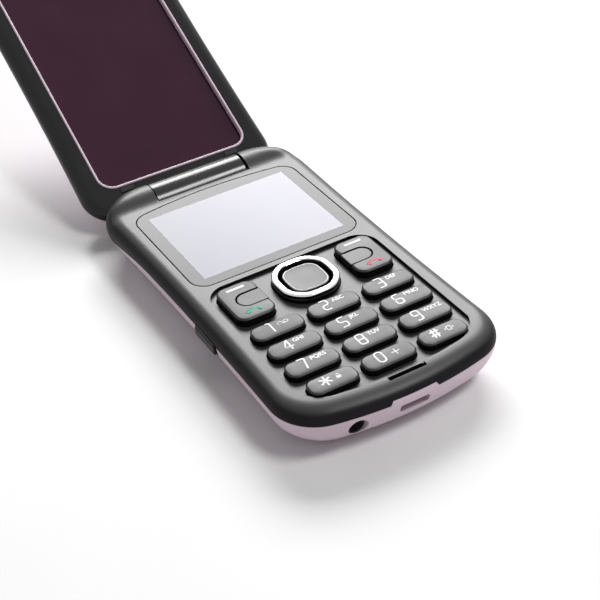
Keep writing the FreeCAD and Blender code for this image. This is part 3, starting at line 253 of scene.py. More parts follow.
def soften(shape, width, segments=2, angle=35):
    bevel = shape.modifiers.new("bevel", "BEVEL")
    bevel.width = width * mm
    bevel.segments = segments
    bevel.limit_method = "ANGLE"
    bevel.angle_limit = math.radians(angle)
    bevel.use_clamp_overlap = True
    bevel.miter_outer = "MITER_ARC"
    bake(shape)


def smooth(shape, angle=38):
    shape.data.shade_smooth()
    shape.data.set_sharp_from_angle(angle=math.radians(angle))
    weigh = shape.modifiers.new("weigh", "WEIGHTED_NORMAL")
    weigh.keep_sharp = True
    bake(shape)


def joined(name, shapes):
    # one object from several, each with its own materials kept
    target = shapes[0]
    with bpy.context.temp_override(active_object=target, selected_editable_objects=shapes, object=target,
                                   selected_objects=shapes):
        bpy.ops.object.join()
    target.name = name
    target.data.name = name
    return target


def finished(shape, body, node):
    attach(shape, body)
    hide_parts(node)


def paint(shape, *names):
    shape.data.materials.clear()
    for name in names:
        shape.data.materials.append(materials[name])


def arcPoints(cx, cy, radius, start, stop, steps, last=True):
    count = steps + 1 if last else steps
    return [(cx + radius * math.cos(math.radians(start + (stop - start) * i / steps)),
             cy + radius * math.sin(math.radians(start + (stop - start) * i / steps))) for i in range(count)]


quarters = ((1, -1, -90), (1, 1, 0), (-1, 1, 90), (-1, -1, 180))  # signs of X and Y, and where each arc starts


def roundedOutline(cx, cy, halfX, halfY, radius, steps=8):
    points = []
    for sx, sy, start in quarters:
        points += arcPoints(cx + sx * (halfX - radius), cy + sy * (halfY - radius), radius, start, start + 90, steps)
    return points


def bowedOutline(cy, half, corner, bulge, steps=10, along=8):
    # square about X = 0 whose sides bow outward between round corners
    points = []
    for sx, sy, start in quarters:
        points += arcPoints(sx * (half - corner), sy * (half - corner), corner, start, start + 90, steps)
        (ax, ay), turn = points[-1], math.radians(start + 90)
        run = 2 * (half - corner) / along
        points += [(ax - math.sin(turn) * run * i, ay + math.cos(turn) * run * i) for i in range(1, along)]
    return [(x * (1 - bulge * (y / half) ** 2), cy + y * (1 - bulge * (x / half) ** 2)) for x, y in points]


def prism(name, outline, low, high):
    count = len(outline)
    points = level(outline, low) + level(outline, high)
    faces = [tuple(range(count)), tuple(range(count, 2 * count))]
    faces += [(i, (i + 1) % count, count + (i + 1) % count, count + i) for i in range(count)]
    return newObject(name, points, faces)


def level(outline, z):
    return [(x, y, z) for x, y in outline]


def block(half, front, back):
    return [(-half, front), (half, front), (half, back), (-half, back)]


def cut(shape, outline, low, high):
    carve(shape, prism("cutter", outline, low, high))


def bands(levels, count):
    # quads between neighbouring rings of equal length
    return [(a + i, a + (i + 1) % count, a + count + (i + 1) % count, a + count + i)
            for a in range(0, (levels - 1) * count, count) for i in range(count)]


def stack(name, rings, capped=True):
    count = len(rings[0])
    faces = bands(len(rings), count)
    if capped:
        faces += [tuple(range(count)), tuple(range((len(rings) - 1) * count, len(rings) * count))]
    return newObject(name, [point for ring in rings for point in ring], faces)


def sideProfile(name, outline, low, high):
    # outline in Y and Z, run along X
    return stack(name, [[(x, y, z) for y, z in outline] for x in (low, high)])


def tube(name, radius, low, high, steps=96):
    # round the hinge's axis
    turns = [2 * math.pi * i / steps for i in range(steps)]
    outline = [(hinge["y"] + radius * math.cos(turn), hinge["z"] + radius * math.sin(turn)) for turn in turns]
    return sideProfile(name, outline, low, high)


# ---- the plan that base and cover share ----

base = {"half": 25.3, "endY": -49.15, "thickness": 12.0, "waistY": -2.35, "waistRadius": 1300.0, "endRadius": 80.0,
        "endCorner": 10.5, "hingeCorner": 11.0, "widestZ": 9.0, "faceRound": 3.2, "faceEndRound": 4.4,
        "backRound": 11.5, "backEndRound": 9.2, "partingStart": 16.65, "partingRadius": 85.0, "seam": 0.1,
        "shoulderBlend": 5.0, "wall": 1.4, "levelY": 36.0, "cornerShare": 0.6, "faceSteps": 13, "backSteps": 17,
        "clearTop": 14}
hinge = {"y": 43.85, "z": 8.4, "radius": 5.3, "notchGap": 0.4, "notchHalf": 12.25, "tail": 55.0, "open": 152.0,
         "shadowGap": 0.2}
screen = {"y": 19.65, "width": 35.04, "height": 28.03}
planSteps = {"end": 12, "corner": 16, "waist": 34, "hinge": 22, "across": 26}


def planRight(sideIn, endIn, hingeY, endCorner, hingeCorner):
    # right half of the plan, from the middle of the bottom end to the hinge edge
    half, endY = base["half"] - sideIn, base["endY"] + endIn
    endR, waistR, waistY = base["endRadius"], base["waistRadius"], base["waistY"]
    endC, waistC = Vector((0, endY + endR)), Vector((half + waistR, waistY))
    gap = waistC - endC
    reachEnd, reachWaist = endR - endCorner, waistR + endCorner
    along = (gap.length ** 2 + reachEnd ** 2 - reachWaist ** 2) / (2 * gap.length)
    across = math.sqrt(reachEnd ** 2 - along ** 2)
    unit = gap.normalized()
    low = endC + unit * along + Vector((unit.y, -unit.x)) * across
    highY = hingeY - hingeCorner
    highX = waistC.x - math.sqrt((waistR + hingeCorner) ** 2 - (highY - waistY) ** 2)
    fromEnd = math.degrees(math.atan2(low.y - endC.y, low.x - endC.x))
    toWaist = math.degrees(math.atan2(waistC.y - low.y, waistC.x - low.x))
    atHinge = math.degrees(math.atan2(waistC.y - highY, waistC.x - highX))
    points = arcPoints(0, endC.y, endR, -90, fromEnd, planSteps["end"], False)
    points += arcPoints(low.x, low.y, endCorner, fromEnd, toWaist, planSteps["corner"], False)
    startY = low.y + endCorner * math.sin(math.radians(toWaist))
    stopY = highY + hingeCorner * math.sin(math.radians(atHinge))
    for i in range(planSteps["waist"]):
        y = startY + (stopY - startY) * i / planSteps["waist"]
        points.append((waistC.x - math.sqrt(waistR ** 2 - (y - waistY) ** 2), y))
    points += arcPoints(highX, highY, hingeCorner, atHinge, 90, planSteps["hinge"])
    return points


def fullRing(right):
    # whole outline: right side, hinge edge, left side
    (cornerX, cornerY), across = right[-1], planSteps["across"]
    edge = [(cornerX * (1 - 2 * i / across), cornerY) for i in range(1, across)]
    return right + edge + [(-x, y) for x, y in reversed(right[1:])]


def pillow(name, rings, topHeight, lowHeight):
    # rings from top to bottom, with a ladder of quads closing each end
    count = len(rings[0])
    across = planSteps["across"]
    sideCount = (count - across + 2) // 2
    points = [point for ring in rings for point in ring]
    faces = bands(len(rings), count)
    for first, height in ((0, topHeight), ((len(rings) - 1) * count, lowHeight)):
        rows = [[first]]
        for i in range(1, sideCount):
            right, left = first + i, first + count - i
            if i == sideCount - 1:
                rows.append(list(range(right, left + 1)))
                continue
            row = [right]
            x, y = points[right][0], points[right][1]
            for step in range(1, across):
                row.append(len(points))
                points.append((x * (1 - 2 * step / across), y, height(y)))
            rows.append(row + [left])
        faces += [(rows[0][0], rows[1][i], rows[1][i + 1]) for i in range(across)]
        for a, b in zip(rows[1:], rows[2:]):
            faces += [(a[i], a[i + 1], b[i + 1], b[i]) for i in range(across)]
    return newObject(name, points, faces)


# ---- base ----

def faceHeight(y):
    # flat face, hollow blend, then the ridge of the knuckles
    blend, radius = base["shoulderBlend"], hinge["radius"]
    rise = base["thickness"] - hinge["z"]
    run = math.sqrt((radius + blend) ** 2 - (rise + blend) ** 2)
    start = hinge["y"] - run
    touch = hinge["y"] - run * radius / (radius + blend)
    if y <= start:
        return base["thickness"]
    if y <= touch:
        return base["thickness"] + blend - math.sqrt(blend ** 2 - (y - start) ** 2)
    if y <= hinge["y"]:
        return hinge["z"] + math.sqrt(radius ** 2 - (y - hinge["y"]) ** 2)
    return hinge["z"] + radius


def widestHeight(y):
    share = min(max((y - base["levelY"]) / (hinge["y"] - base["levelY"]), 0), 1)
    share = share * share * (3 - 2 * share)
    return base["widestZ"] + (hinge["z"] - base["widestZ"]) * share


def backY(z):
    # underside of the knuckles: the circle, then its tangent
    radius, tail = hinge["radius"], math.radians(hinge["tail"])
    drop = hinge["z"] - z
    if drop < radius * math.sin(tail):
        return hinge["y"] + math.sqrt(radius ** 2 - drop ** 2)
    return hinge["y"] + radius * math.cos(tail) - (drop - radius * math.sin(tail)) * math.tan(tail)


def baseRing(sideIn, endIn, hingeY):
    cornerIn = base["cornerShare"] * min(sideIn, endIn)
    return fullRing(planRight(sideIn, endIn, hingeY, base["endCorner"] - cornerIn, base["hingeCorner"] - cornerIn))


def wholeBase(name):
    rings = []
    for i in range(base["faceSteps"]):
        turn = math.radians(90 - 90 * i / base["faceSteps"])
        inward = 1 - math.cos(turn)
        plan = baseRing(base["faceRound"] * inward, base["faceEndRound"] * inward,
                        hinge["y"] + hinge["radius"] * math.cos(turn))
        rings.append([(x, y, widestHeight(y) + (faceHeight(y) - widestHeight(y)) * math.sin(turn)) for x, y in plan])
    for i in range(base["backSteps"] + 1):
        turn = math.radians(90 * i / base["backSteps"])
        inward = 1 - math.cos(turn)
        z = base["widestZ"] * (1 - math.sin(turn))
        plan = baseRing(base["backRound"] * inward, base["backEndRound"] * inward, backY(min(z, hinge["z"])))
        rings.append([(x, y, widestHeight(y) * (1 - math.sin(turn))) for x, y in plan])
    return pillow(name, rings, faceHeight, lambda y: 0.0)


# the cutter below the parting line reaches past the phone on every side
parting = {"front": -70.0, "deep": -30.0, "side": 60, "turn": 50, "steps": 40}
boss = {"x": -0.15, "half": 5.6, "rise": 0.9, "slope": 0.55, "foot": 1, "front": -60, "back": -44.6}


def belowParting(name, drop):
    # flat, then falling in an arc towards the hinge, with the raised boss round the charging socket
    seamZ = base["widestZ"] - drop
    radius = base["partingRadius"]
    outline = [(parting["front"], parting["deep"]), (parting["front"], seamZ), (base["partingStart"], seamZ)]
    for i in range(1, parting["steps"] + 1):
        turn = math.radians(parting["turn"] * i / parting["steps"])
        outline.append((base["partingStart"] + radius * math.sin(turn), seamZ - radius + radius * math.cos(turn)))
    outline.append((outline[-1][0], parting["deep"]))
    lower = sideProfile(name, outline, -parting["side"], parting["side"])
    top = seamZ + boss["rise"]
    half, slope, foot = boss["half"], boss["slope"], seamZ - boss["foot"]
    shoulders = [(boss["x"] + x, z) for x, z in ((-half - slope, foot), (-half, seamZ), (-half + slope, top),
                                                (half - slope, top), (half, seamZ), (half + slope, foot))]
    block = stack("boss", [[(x, y, z) for x, z in shoulders] for y in (boss["front"], boss["back"])])
    carve(lower, block, "UNION")
    return lower


cavity = {"sideIn": 6.8, "endIn": 6.2, "hingeY": 36.6, "corner": 6.0, "frontLow": 2}


def hollow(shell, low):
    outline = fullRing(planRight(cavity["sideIn"], cavity["endIn"], cavity["hingeY"], cavity["corner"],
                                 cavity["corner"]))
    cut(shell, outline, low, field["floorLow"])


lens = {"half": 21.0, "low": 17.1, "high": 18.3, "shoulder": 16.2, "corner": 4.0, "seat": 10.9, "gap": 0.1,
        "edge": 0.16, "fit": -0.08, "bottom": 11.0}


def lensOutline(grow):
    half, corner = lens["half"] + grow, lens["corner"] + grow
    low, peak = screen["y"] - lens["low"] - grow, screen["y"] + lens["high"] + grow
    sag = lens["high"] - lens["shoulder"]
    radius = (lens["half"] ** 2 + sag ** 2) / (2 * sag) + grow
    centreY = peak - radius
    highY = centreY + math.sqrt((radius - corner) ** 2 - (half - corner) ** 2)
    lean = math.degrees(math.atan2(highY - centreY, half - corner))
    right = arcPoints(half - corner, low + corner, corner, -90, 0, 10)
    right += arcPoints(half - corner, highY, corner, 0, lean, 10, False)
    right += arcPoints(0, centreY, radius, lean, 90, 12)
    return right + [(-x, y) for x, y in reversed(right[:-1])]


field = {"half": 20.7, "top": 18.6, "bottom": 63.9, "corner": 5.0, "floor": 11.2, "floorLow": 9.95}


def fieldOutline():
    # sunk keypad field: follows the body's end at the bottom
    topY = screen["y"] - field["top"]
    endIn = screen["y"] - field["bottom"] - base["endY"]
    right = planRight(base["half"] - field["half"], endIn, 60, base["endCorner"] - endIn * 0.5, 5)
    right = [(min(x, field["half"]), y) for x, y in right if y < topY - field["corner"] - 0.5]
    right += arcPoints(field["half"] - field["corner"], topY - field["corner"], field["corner"], 0, 90, 10)
    return right + [(-x, y) for x, y in reversed(right[1:])]


keys = {"pitchX": 13.47, "pitchY": 6.875, "firstRow": 38.5, "width": 11.8, "depth": 4.86, "corner": 1.9,
        "rise": 0.71, "gap": 0.2, "trim": 0.9, "bottom": 9.3, "holeLow": 8.5, "holeHigh": 12.5,
        "names": (("key_1", "key_2", "key_3"), ("key_4", "key_5", "key_6"), ("key_7", "key_8", "key_9"),
                  ("key_star", "key_0", "key_hash"))}
soft = {"x": 14.65, "row": 27.06, "width": 9.06, "depth": 12.67, "corner": 2.3, "rise": 1.05, "tongue": 6.4,
        "tongueWidth": 4.5, "groove": 0.22}
nav = {"size": 14.0, "corner": 4.6, "band": 1.6, "bulge": 0.115, "rise": 1.21, "select": 9.0, "selectCorner": 1.9,
       "selectBulge": 0.115, "selectRise": 0.8}
softY = screen["y"] - soft["row"]


def keyPlaces():
    places = {}
    for row, names in enumerate(keys["names"]):
        for column, name in enumerate(names):
            side = column - 1
            trim = keys["trim"] if name in ("key_star", "key_hash") else 0
            places[name] = (side * keys["pitchX"] - side * trim / 2,
                            screen["y"] - keys["firstRow"] - row * keys["pitchY"], keys["width"] - trim)
    return places


def holeCutters():
    gap = keys["gap"]
    outlines = [roundedOutline(x, y, width / 2 + gap, keys["depth"] / 2 + gap, keys["corner"] + gap, 6)
                for x, y, width in keyPlaces().values()]
    outlines += [roundedOutline(side * soft["x"], softY, soft["width"] / 2 + gap, soft["depth"] / 2 + gap,
                                soft["corner"] + gap, 6) for side in (-1, 1)]
    outlines.append(bowedOutline(softY, nav["size"] / 2 + gap, nav["corner"] + gap, nav["bulge"]))
    return joined("holes", [prism("hole", outline, keys["holeLow"], keys["holeHigh"]) for outline in outlines])


slot = {"x": 0.7, "length": 8.8, "width": 1.8, "shift": 0.35, "corner": 0.3, "low": 10.2}
sideWindow = {"y": -8.85, "length": 9.2, "height": 2.4, "z": 8.0, "gap": 0.2, "corner": 0.9, "from": -27, "to": -21}


def sideWindowCutter():
    halfY, halfZ = (sideWindow[side] / 2 + sideWindow["gap"] for side in ("length", "height"))
    outline = roundedOutline(sideWindow["y"], sideWindow["z"], halfY, halfZ, sideWindow["corner"], 5)
    return sideProfile("sideWindow", outline, sideWindow["from"], sideWindow["to"])


def notchCutter():
    radius = hinge["radius"] + hinge["notchGap"] + hinge["shadowGap"]
    return tube("notch", radius, -hinge["notchHalf"], hinge["notchHalf"], 128)


shade = {"under": 0.1, "upright": 0.4, "halfX": 21.4, "fieldY": (-45, 38.2), "slotY": (-46, -43),
         "notchGrow": 0.25, "notchPast": 3}


def inShade(at, normal):
    # painted shade: black on the walls of the openings, in the mic slot, and at the ends of the hinge notch
    if (at.z < base["thickness"] - shade["under"] and abs(normal.z) < shade["upright"]
            and abs(at.x) < shade["halfX"] and shade["fieldY"][0] < at.y < shade["fieldY"][1]):
        return True
    if (at.z < field["floor"] - shade["under"] and abs(at.x - slot["x"]) < slot["length"] / 2 + shade["under"]
            and shade["slotY"][0] < at.y < shade["slotY"][1]):
        return True
    away = math.hypot(at.y - hinge["y"], at.z - hinge["z"])
    inNotch = away < hinge["radius"] + hinge["notchGap"] + shade["notchGrow"]
    return inNotch and abs(at.x) < hinge["notchHalf"] + 0.05 and at.y < hinge["y"] + shade["notchPast"]


def makeFrontShell():
    shell = wholeBase("frontShell")
    carve(shell, belowParting("parting", 0))
    carve(shell, notchCutter())
    cut(shell, lensOutline(lens["gap"]), lens["seat"], base["clearTop"])
    cut(shell, fieldOutline(), field["floor"], base["clearTop"])
    hollow(shell, cavity["frontLow"])
    carve(shell, holeCutters())
    slotY = screen["y"] - field["bottom"] - slot["shift"]
    cut(shell, roundedOutline(slot["x"], slotY, slot["length"] / 2, slot["width"] / 2, slot["corner"], 4),
        slot["low"], base["clearTop"])
    carve(shell, sideWindowCutter())
    soften(shell, 0.13, 2)
    smooth(outward(shell, 0.003))
    paint(shell, "darkShell", "blackAndPaintedShade")
    # painted shade on the opening walls, the mic slot and the notch ends
    for face in shell.data.polygons:
        face.material_index = int(inShade(face.center / mm, face.normal))
    finished(shell, "base", "front_shell")


opening = {"mouthHalf": 3.45, "mouthRise": 0.975, "mouthCorner": 0.6, "bore": 2.1, "window": 3.4,
           "slits": 5, "slitPitch": 2.2, "slitHalf": 0.45, "slitRun": 3.5, "slitCorner": 0.4,
           "back": (-1, 2.5), "neckY": (40.35, 60), "neckZ": (-2, 9.4)}


def middle(node):
    low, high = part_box(node)
    return (low + high) / (2 * mm)


def endHole(name, outline):
    # cuts through the bottom end wall
    return stack(name, [[(x, y, z) for x, z in outline] for y in (-52, -42)])


def makeRearCover():
    cover = wholeBase("rearCover")
    carve(cover, belowParting("parting", base["seam"]), "INTERSECT")
    carve(cover, notchCutter())
    cut(cover, block(hinge["notchHalf"], *opening["neckY"]), *opening["neckZ"])
    hollow(cover, base["wall"])
    carve(cover, sideWindowCutter())
    usb, jack, speaker, window = (middle(node) for node in ("usb_socket", "audio_jack", "loudspeaker",
                                                           "camera_window"))
    carve(cover, endHole("mouth", roundedOutline(usb.x, usb.z, opening["mouthHalf"], opening["mouthRise"],
                                                 opening["mouthCorner"], 5)))
    carve(cover, endHole("bore", arcPoints(jack.x, jack.z, opening["bore"], 0, 360, 48, False)))
    middleSlit = (opening["slits"] - 1) // 2
    slits = [prism("slit", roundedOutline(speaker.x + (i - middleSlit) * opening["slitPitch"], speaker.y,
                                          opening["slitHalf"], opening["slitRun"], opening["slitCorner"], 4),
                   *opening["back"]) for i in range(opening["slits"])]
    carve(cover, joined("slits", slits))
    cut(cover, arcPoints(window.x, window.y, opening["window"], 0, 360, 64, False), *opening["back"])
    soften(cover, 0.12, 2)
    smooth(cover)
    paint(cover, "paleShell")
    finished(cover, "base", "rear_cover")


makeFrontShell()
makeRearCover()
print("base shells made")


# ---- display ----

display = {"dim": (0.175, 0.175, 0.215), "bright": (0.27, 0.265, 0.315), "frame": (0.02, 0.019, 0.024),
           "margin": 0.2, "edge": 0.1, "drift": 6.0, "dimAt": -0.6, "brightAt": 0.4}


def displayMaterial():
    material, tree, shader = newMaterial("displayGlass")
    at = axes(tree)
    halfX, halfY = ((screen[side] / 2 + display["margin"]) * mm for side in ("width", "height"))
    inX = maths(tree, "SUBTRACT", halfX, maths(tree, "ABSOLUTE", at["X"]))
    inY = maths(tree, "SUBTRACT", halfY, maths(tree, "ABSOLUTE", maths(tree, "SUBTRACT", at["Y"], screen["y"] * mm)))
    window = ranged(tree, maths(tree, "MINIMUM", inX, inY), 0, display["edge"] * mm)
    cloud = addNode(tree, "ShaderNodeGroup", {"Scale": 40.0, "Low": 0.03, "High": 0.07}, node_tree=uneven)
    # painted reflection: the panel is made a little brighter to the right
    drift = maths(tree, "MULTIPLY", cloud.outputs["Mask"], display["drift"] * mm)
    across = ranged(tree, maths(tree, "ADD", at["X"], drift), display["dimAt"] * screen["width"] * mm,
                    display["brightAt"] * screen["width"] * mm)
    panelWithPaintedLight = blended(tree, across, display["dim"], display["bright"])
    # painted light: the panel glows faintly, standing in for reflected light
    feed(tree, shader, {"Base Color": blended(tree, window, display["frame"], panelWithPaintedLight),
                        "Emission Color": blended(tree, window, (0, 0, 0), panelWithPaintedLight), "Emission Strength": 0.1,
                        "Specular IOR Level": 0.15, "Roughness": cloud.outputs["Value"]})
    return material


def makeLens():
    piece = prism("displayLens", lensOutline(lens["fit"]), lens["bottom"], base["thickness"])
    soften(piece, lens["edge"], 3)
    smooth(piece)
    paint(piece, "displayGlass")
    finished(piece, "base", "display_lens")


materials["displayGlass"] = displayMaterial()
makeLens()
print("display made")


# ---- keys ----

def keyBlank(name, x, y, halfX, halfY, corner, low, high, edge=0.3, crown=0.07, steps=8):
    # upright side, chamfer with small round shoulders, nearly flat crown
    rings = [(0, low), (0, high - crown - edge * 0.95), (0.03, high - crown - edge * 0.8),
             (edge * 0.82, high - crown - 0.07), (edge, high - crown - 0.015), (edge + 0.15, high - crown),
             (edge + 0.5, high - crown * 0.45), (edge + 1.0, high - crown * 0.12), (edge + 1.5, high)]
    return stack(name, [level(roundedOutline(x, y, halfX - inset, halfY - inset, max(corner - inset, 0.25), steps), z)
                        for inset, z in rings])


def topSplit(shape, topZ):
    # painted shade: the sides get the second material, black, and the lit top keeps the first
    for face in shape.data.polygons:
        face.material_index = 0 if face.normal.z > 0.45 and face.center.z > (topZ - 0.6) * mm else 1


def strokeTree():
    # flat stroke along a path, as printed figures are
    tree = bpy.data.node_groups.new("stroke", "GeometryNodeTree")
    for title, kind in (("Geometry", "Geometry"), ("Width", "Float"), ("Height", "Float"), ("Round", "Float"),
                        ("Material", "Material")):
        tree.interface.new_socket(title, in_out="INPUT", socket_type="NodeSocket" + kind)
    tree.interface.new_socket("Geometry", in_out="OUTPUT", socket_type="NodeSocketGeometry")
    given = tree.nodes.new("NodeGroupInput").outputs
    fillet = addNode(tree, "GeometryNodeFilletCurve", {"Curve": given["Geometry"], "Radius": given["Round"],
                                                       "Count": 4}, mode="POLY")
    upright = addNode(tree, "GeometryNodeSetCurveNormal", {0: fillet.outputs[0]}, mode="Z_UP")
    profile = addNode(tree, "GeometryNodeCurvePrimitiveQuadrilateral", {"Width": given["Width"],
                                                                        "Height": given["Height"]})
    sweep = addNode(tree, "GeometryNodeCurveToMesh", {"Curve": upright.outputs[0],
                                                      "Profile Curve": profile.outputs[0], "Fill Caps": True})
    realize = addNode(tree, "GeometryNodeRealizeInstances", {0: sweep.outputs[0]})
    painted = addNode(tree, "GeometryNodeSetMaterial", {0: realize.outputs[0], "Material": given["Material"]})
    addNode(tree, "NodeGroupOutput", {0: painted.outputs[0]})
    return tree


strokes = strokeTree()
# lift keeps crossing strokes from lying in one plane
printing = {"lift": 0.004, "extrude": 0.012, "embolden": 0.022, "weld": 0.01}

# figures as strokes on a grid 2 wide and 4 high; a closed stroke ends where it starts
figures = {
    "0": [[(0, 0), (2, 0), (2, 4), (0, 4), (0, 0)]],
    "1": [[(0.3, 4), (1.3, 4), (1.3, 0)]],
    "2": [[(0, 4), (2, 4), (2, 2), (0, 2), (0, 0), (2, 0)]],
    "3": [[(0, 4), (2, 4), (2, 0), (0, 0)], [(0.4, 2), (2, 2)]],
    "4": [[(1.45, 0), (1.45, 4.1)], [(1.3, 4.0), (-0.2, 1.2), (2.4, 1.2)]],
    "5": [[(2, 4), (0, 4), (0, 2), (2, 2), (2, 0), (0, 0)]],
    "6": [[(1.8, 4), (0, 4), (0, 0), (2, 0), (2, 2), (0, 2)]],
    "7": [[(0, 4), (2, 4), (1.1, 0)]],
    "8": [[(0, 0), (2, 0), (2, 4), (0, 4), (0, 0)], [(0, 2), (2, 2)]],
    "9": [[(2, 2), (0, 2), (0, 4), (2, 4), (2, 0), (0.2, 0)]],
    "*": [[(1, 0.2), (1, 3.8)], [(-0.5, 1.1), (2.5, 2.9)], [(-0.5, 2.9), (2.5, 1.1)]],
    "#": [[(0.5, 0.3), (0.8, 3.7)], [(1.5, 0.3), (1.8, 3.7)], [(-0.3, 1.3), (2.3, 1.3)], [(-0.1, 2.7), (2.5, 2.7)]],
    "+": [[(1, 0.8), (1, 3.2)], [(-0.2, 2), (2.2, 2)]],
}


def meshed(shape):
    # the curve's evaluated result as a plain mesh object of the same name
    view = bpy.context.evaluated_depsgraph_get()
    view.update()
    name, mesh = shape.name, bpy.data.meshes.new_from_object(shape.evaluated_get(view), depsgraph=view)
    bpy.data.objects.remove(shape)
    return addObject(name, mesh)


def strokeShape(name, paths, x, y, z, unit, width, fillet, finish, height=0.03):
    curve = bpy.data.curves.new(name, "CURVE")
    curve.dimensions = "3D"
    for step, path in enumerate(paths):
        closed = path[0] == path[-1]
        points = path[:-1] if closed else path
        line = curve.splines.new("POLY")
        line.points.add(len(points) - 1)
        for point, (px, py) in zip(line.points, points):
            point.co = ((x + px * unit) * mm, (y + py * unit) * mm, (z + printing["lift"] * step) * mm, 1)
        line.use_cyclic_u = closed
    shape = addObject(name, curve)
    change = shape.modifiers.new("stroke", "NODES")
    change.node_group = strokes
    values = {"Width": width * mm, "Height": height * mm, "Round": fillet * mm, "Material": materials[finish]}
    for item in strokes.interface.items_tree:
        if item.item_type == "SOCKET" and item.in_out == "INPUT" and item.name in values:
            change[item.identifier] = values[item.name]
    return meshed(shape)


def textShape(name, body, x, y, z, size, finish):
    curve = bpy.data.curves.new(name, "FONT")
    curve.body = body
    curve.size = size * mm
    curve.extrude = printing["extrude"] * mm
    curve.offset = printing["embolden"] * mm
    made = meshed(addObject(name, curve))
    made.data.transform(Matrix.Translation(Vector((x, y, z)) * mm))
    paint(made, finish)
    return outward(made, printing["weld"])


signs = {"key_star": "*", "key_hash": "#"}
letters = {"2": "ABC", "3": "DEF", "4": "GHI", "5": "JKL", "6": "MNO", "7": "PQRS", "8": "TUV", "9": "WXYZ"}
legend = {"unit": 0.8, "width": 0.4, "bold": 0.46, "round": 0.5, "left": -2.6, "narrowLeft": -2.2, "middle": 0.3,
          "letters": 1.5, "lettersAt": (0.1, 0.55), "iconAt": (1.3, -0.1), "proud": 0.01, "lettersProud": 0.012,
          "rounds": {"*": 0.05, "#": 0.05, "4": 0.12, "0": 0.78, "7": 0.3}}

# small signs: message for 1, plus for 0, lock for the star, silent for the hash
icons = {
    "1": [([[(-0.9, 0.35), (0.1, 0.35), (0.1, 1.15), (-0.9, 1.15), (-0.9, 0.35)],
            [(0.5, 0.35), (1.5, 0.35), (1.5, 1.15), (0.5, 1.15), (0.5, 0.35)]], 0.2, 0.38),
          ([[(-0.4, 0.35), (1.0, 0.35)]], 0.2, 0.05)],
    "0": [([[(0.4, -0.65), (0.4, 1.15)], [(-0.5, 0.25), (1.3, 0.25)]], 0.26, 0.05)],
    "*": [([[(-0.3, 0.1), (0.7, 0.1)]], 0.8, 0.05),
          ([[(-0.1, 0.4), (-0.1, 1.0), (0.5, 1.0), (0.5, 0.4)]], 0.2, 0.25)],
    "#": [([[(-0.1, -0.3), (0.8, -0.3), (0.8, 0.9), (-0.1, 0.9), (-0.1, -0.3)]], 0.22, 0.1),
          ([[(-0.55, 0.0), (-0.55, 0.6)], [(1.25, 0.0), (1.25, 0.6)]], 0.2, 0.05)],
}


def makeKeys():
    top = base["thickness"] + keys["rise"]
    for name, (x, y, width) in keyPlaces().items():
        figure = signs.get(name, name[-1])
        key = keyBlank(name + "_cap", x, y, width / 2, keys["depth"] / 2, keys["corner"], keys["bottom"], top)
        smooth(key, 50)
        paint(key, "keyTop", "blackAndPaintedShade")
        topSplit(key, top)
        unit, z = legend["unit"], top + legend["proud"]
        left = x + legend["narrowLeft" if figure in "14*" else "left"]
        prints = [strokeShape("figure", figures[figure], left, y + legend["middle"] - 2 * unit, z, unit,
                              legend["bold" if figure in "*#" else "width"],
                              legend["rounds"].get(figure, legend["round"]), "legend")]
        if figure in letters:
            right, up = legend["lettersAt"]
            prints.append(textShape("letters", letters[figure], x + right, y + up, top + legend["lettersProud"],
                                    legend["letters"], "legend"))
        for paths, width, fillet in icons.get(figure, ()):
            right, up = legend["iconAt"]
            prints.append(strokeShape("icon", paths, x + right, y + up, z, 1, width, fillet, "legend"))
        piece = joined(name + "_cap", [key] + prints)
        finished(piece, name + "_body", name)


makeKeys()
print("number keys made")


def grooveOutline(side, grow):
    inner = soft["x"] - soft["width"] / 2
    radius = soft["tongueWidth"] / 2 + grow
    bend = inner + soft["tongue"] - soft["tongueWidth"] / 2
    start = inner - (2.0 if grow else 0)
    right = [(start, softY - radius)] + arcPoints(bend, softY, radius, -90, 90, 16) + [(start, softY + radius)]
    return right if side > 0 else [(-x, y) for x, y in right]


softPrint = {"bar": 4.2, "barX": 14.7, "barRow": 22.6, "iconX": 14.9, "iconRow": 31.4, "thick": 0.05}


def handset():
    # the same receiver stands for answer and for end
    bow = arcPoints(0, -0.9, 1.75, 40, 140, 8)
    ends = [[(bow[0][0] - 0.1, bow[0][1]), (bow[0][0] + 0.35, bow[0][1] - 0.45)],
            [(bow[-1][0] + 0.1, bow[-1][1]), (bow[-1][0] - 0.35, bow[-1][1] - 0.45)]]
    return bow, ends


def makeSoftKeys():
    top = base["thickness"] + soft["rise"]
    for side, node, finish in ((-1, "rocker_left", "greenLegend"), (1, "rocker_right", "redLegend")):
        key = keyBlank(node + "_cap", side * soft["x"], softY, soft["width"] / 2, soft["depth"] / 2, soft["corner"],
                       keys["bottom"], top, 0.35, 0.05)
        carve(key, prism("groove", grooveOutline(side, soft["groove"]), 5, 16))
        soften(key, 0.1, 2, 50)
        smooth(key, 50)
        paint(key, "keyTop", "blackAndPaintedShade")
        topSplit(key, top)
        thick = softPrint["thick"]
        bar = strokeShape("bar", [[(0, 0), (softPrint["bar"], 0)]], side * softPrint["barX"] - softPrint["bar"] / 2,
                          screen["y"] - softPrint["barRow"], top + 0.02, 1, 0.8, thick, "legend", thick)
        bow, ends = handset()
        iconX, iconY = side * softPrint["iconX"], screen["y"] - softPrint["iconRow"]
        icon = strokeShape("icon", [bow], iconX, iconY, top + 0.012, 1, 0.55, thick, finish, thick)
        tips = strokeShape("tips", ends, iconX, iconY, top + 0.014, 1, 0.9, thick, finish, thick)
        piece = joined(node + "_cap", [key, bar, icon, tips])
        finished(piece, node + "_body", node)
    tongues = []
    for side in (-1, 1):
        tongue = prism("tongue", grooveOutline(side, 0), 9.0, top - 0.1)
        soften(tongue, 0.25, 3, 50)
        tongues.append(tongue)
    piece = joined("softKeyTongues", tongues)
    smooth(piece, 50)
    paint(piece, "keyTop", "blackAndPaintedShade")
    topSplit(piece, top - 0.1)
    finished(piece, "base", "soft_key_tongues")


makeSoftKeys()
print("soft keys made")


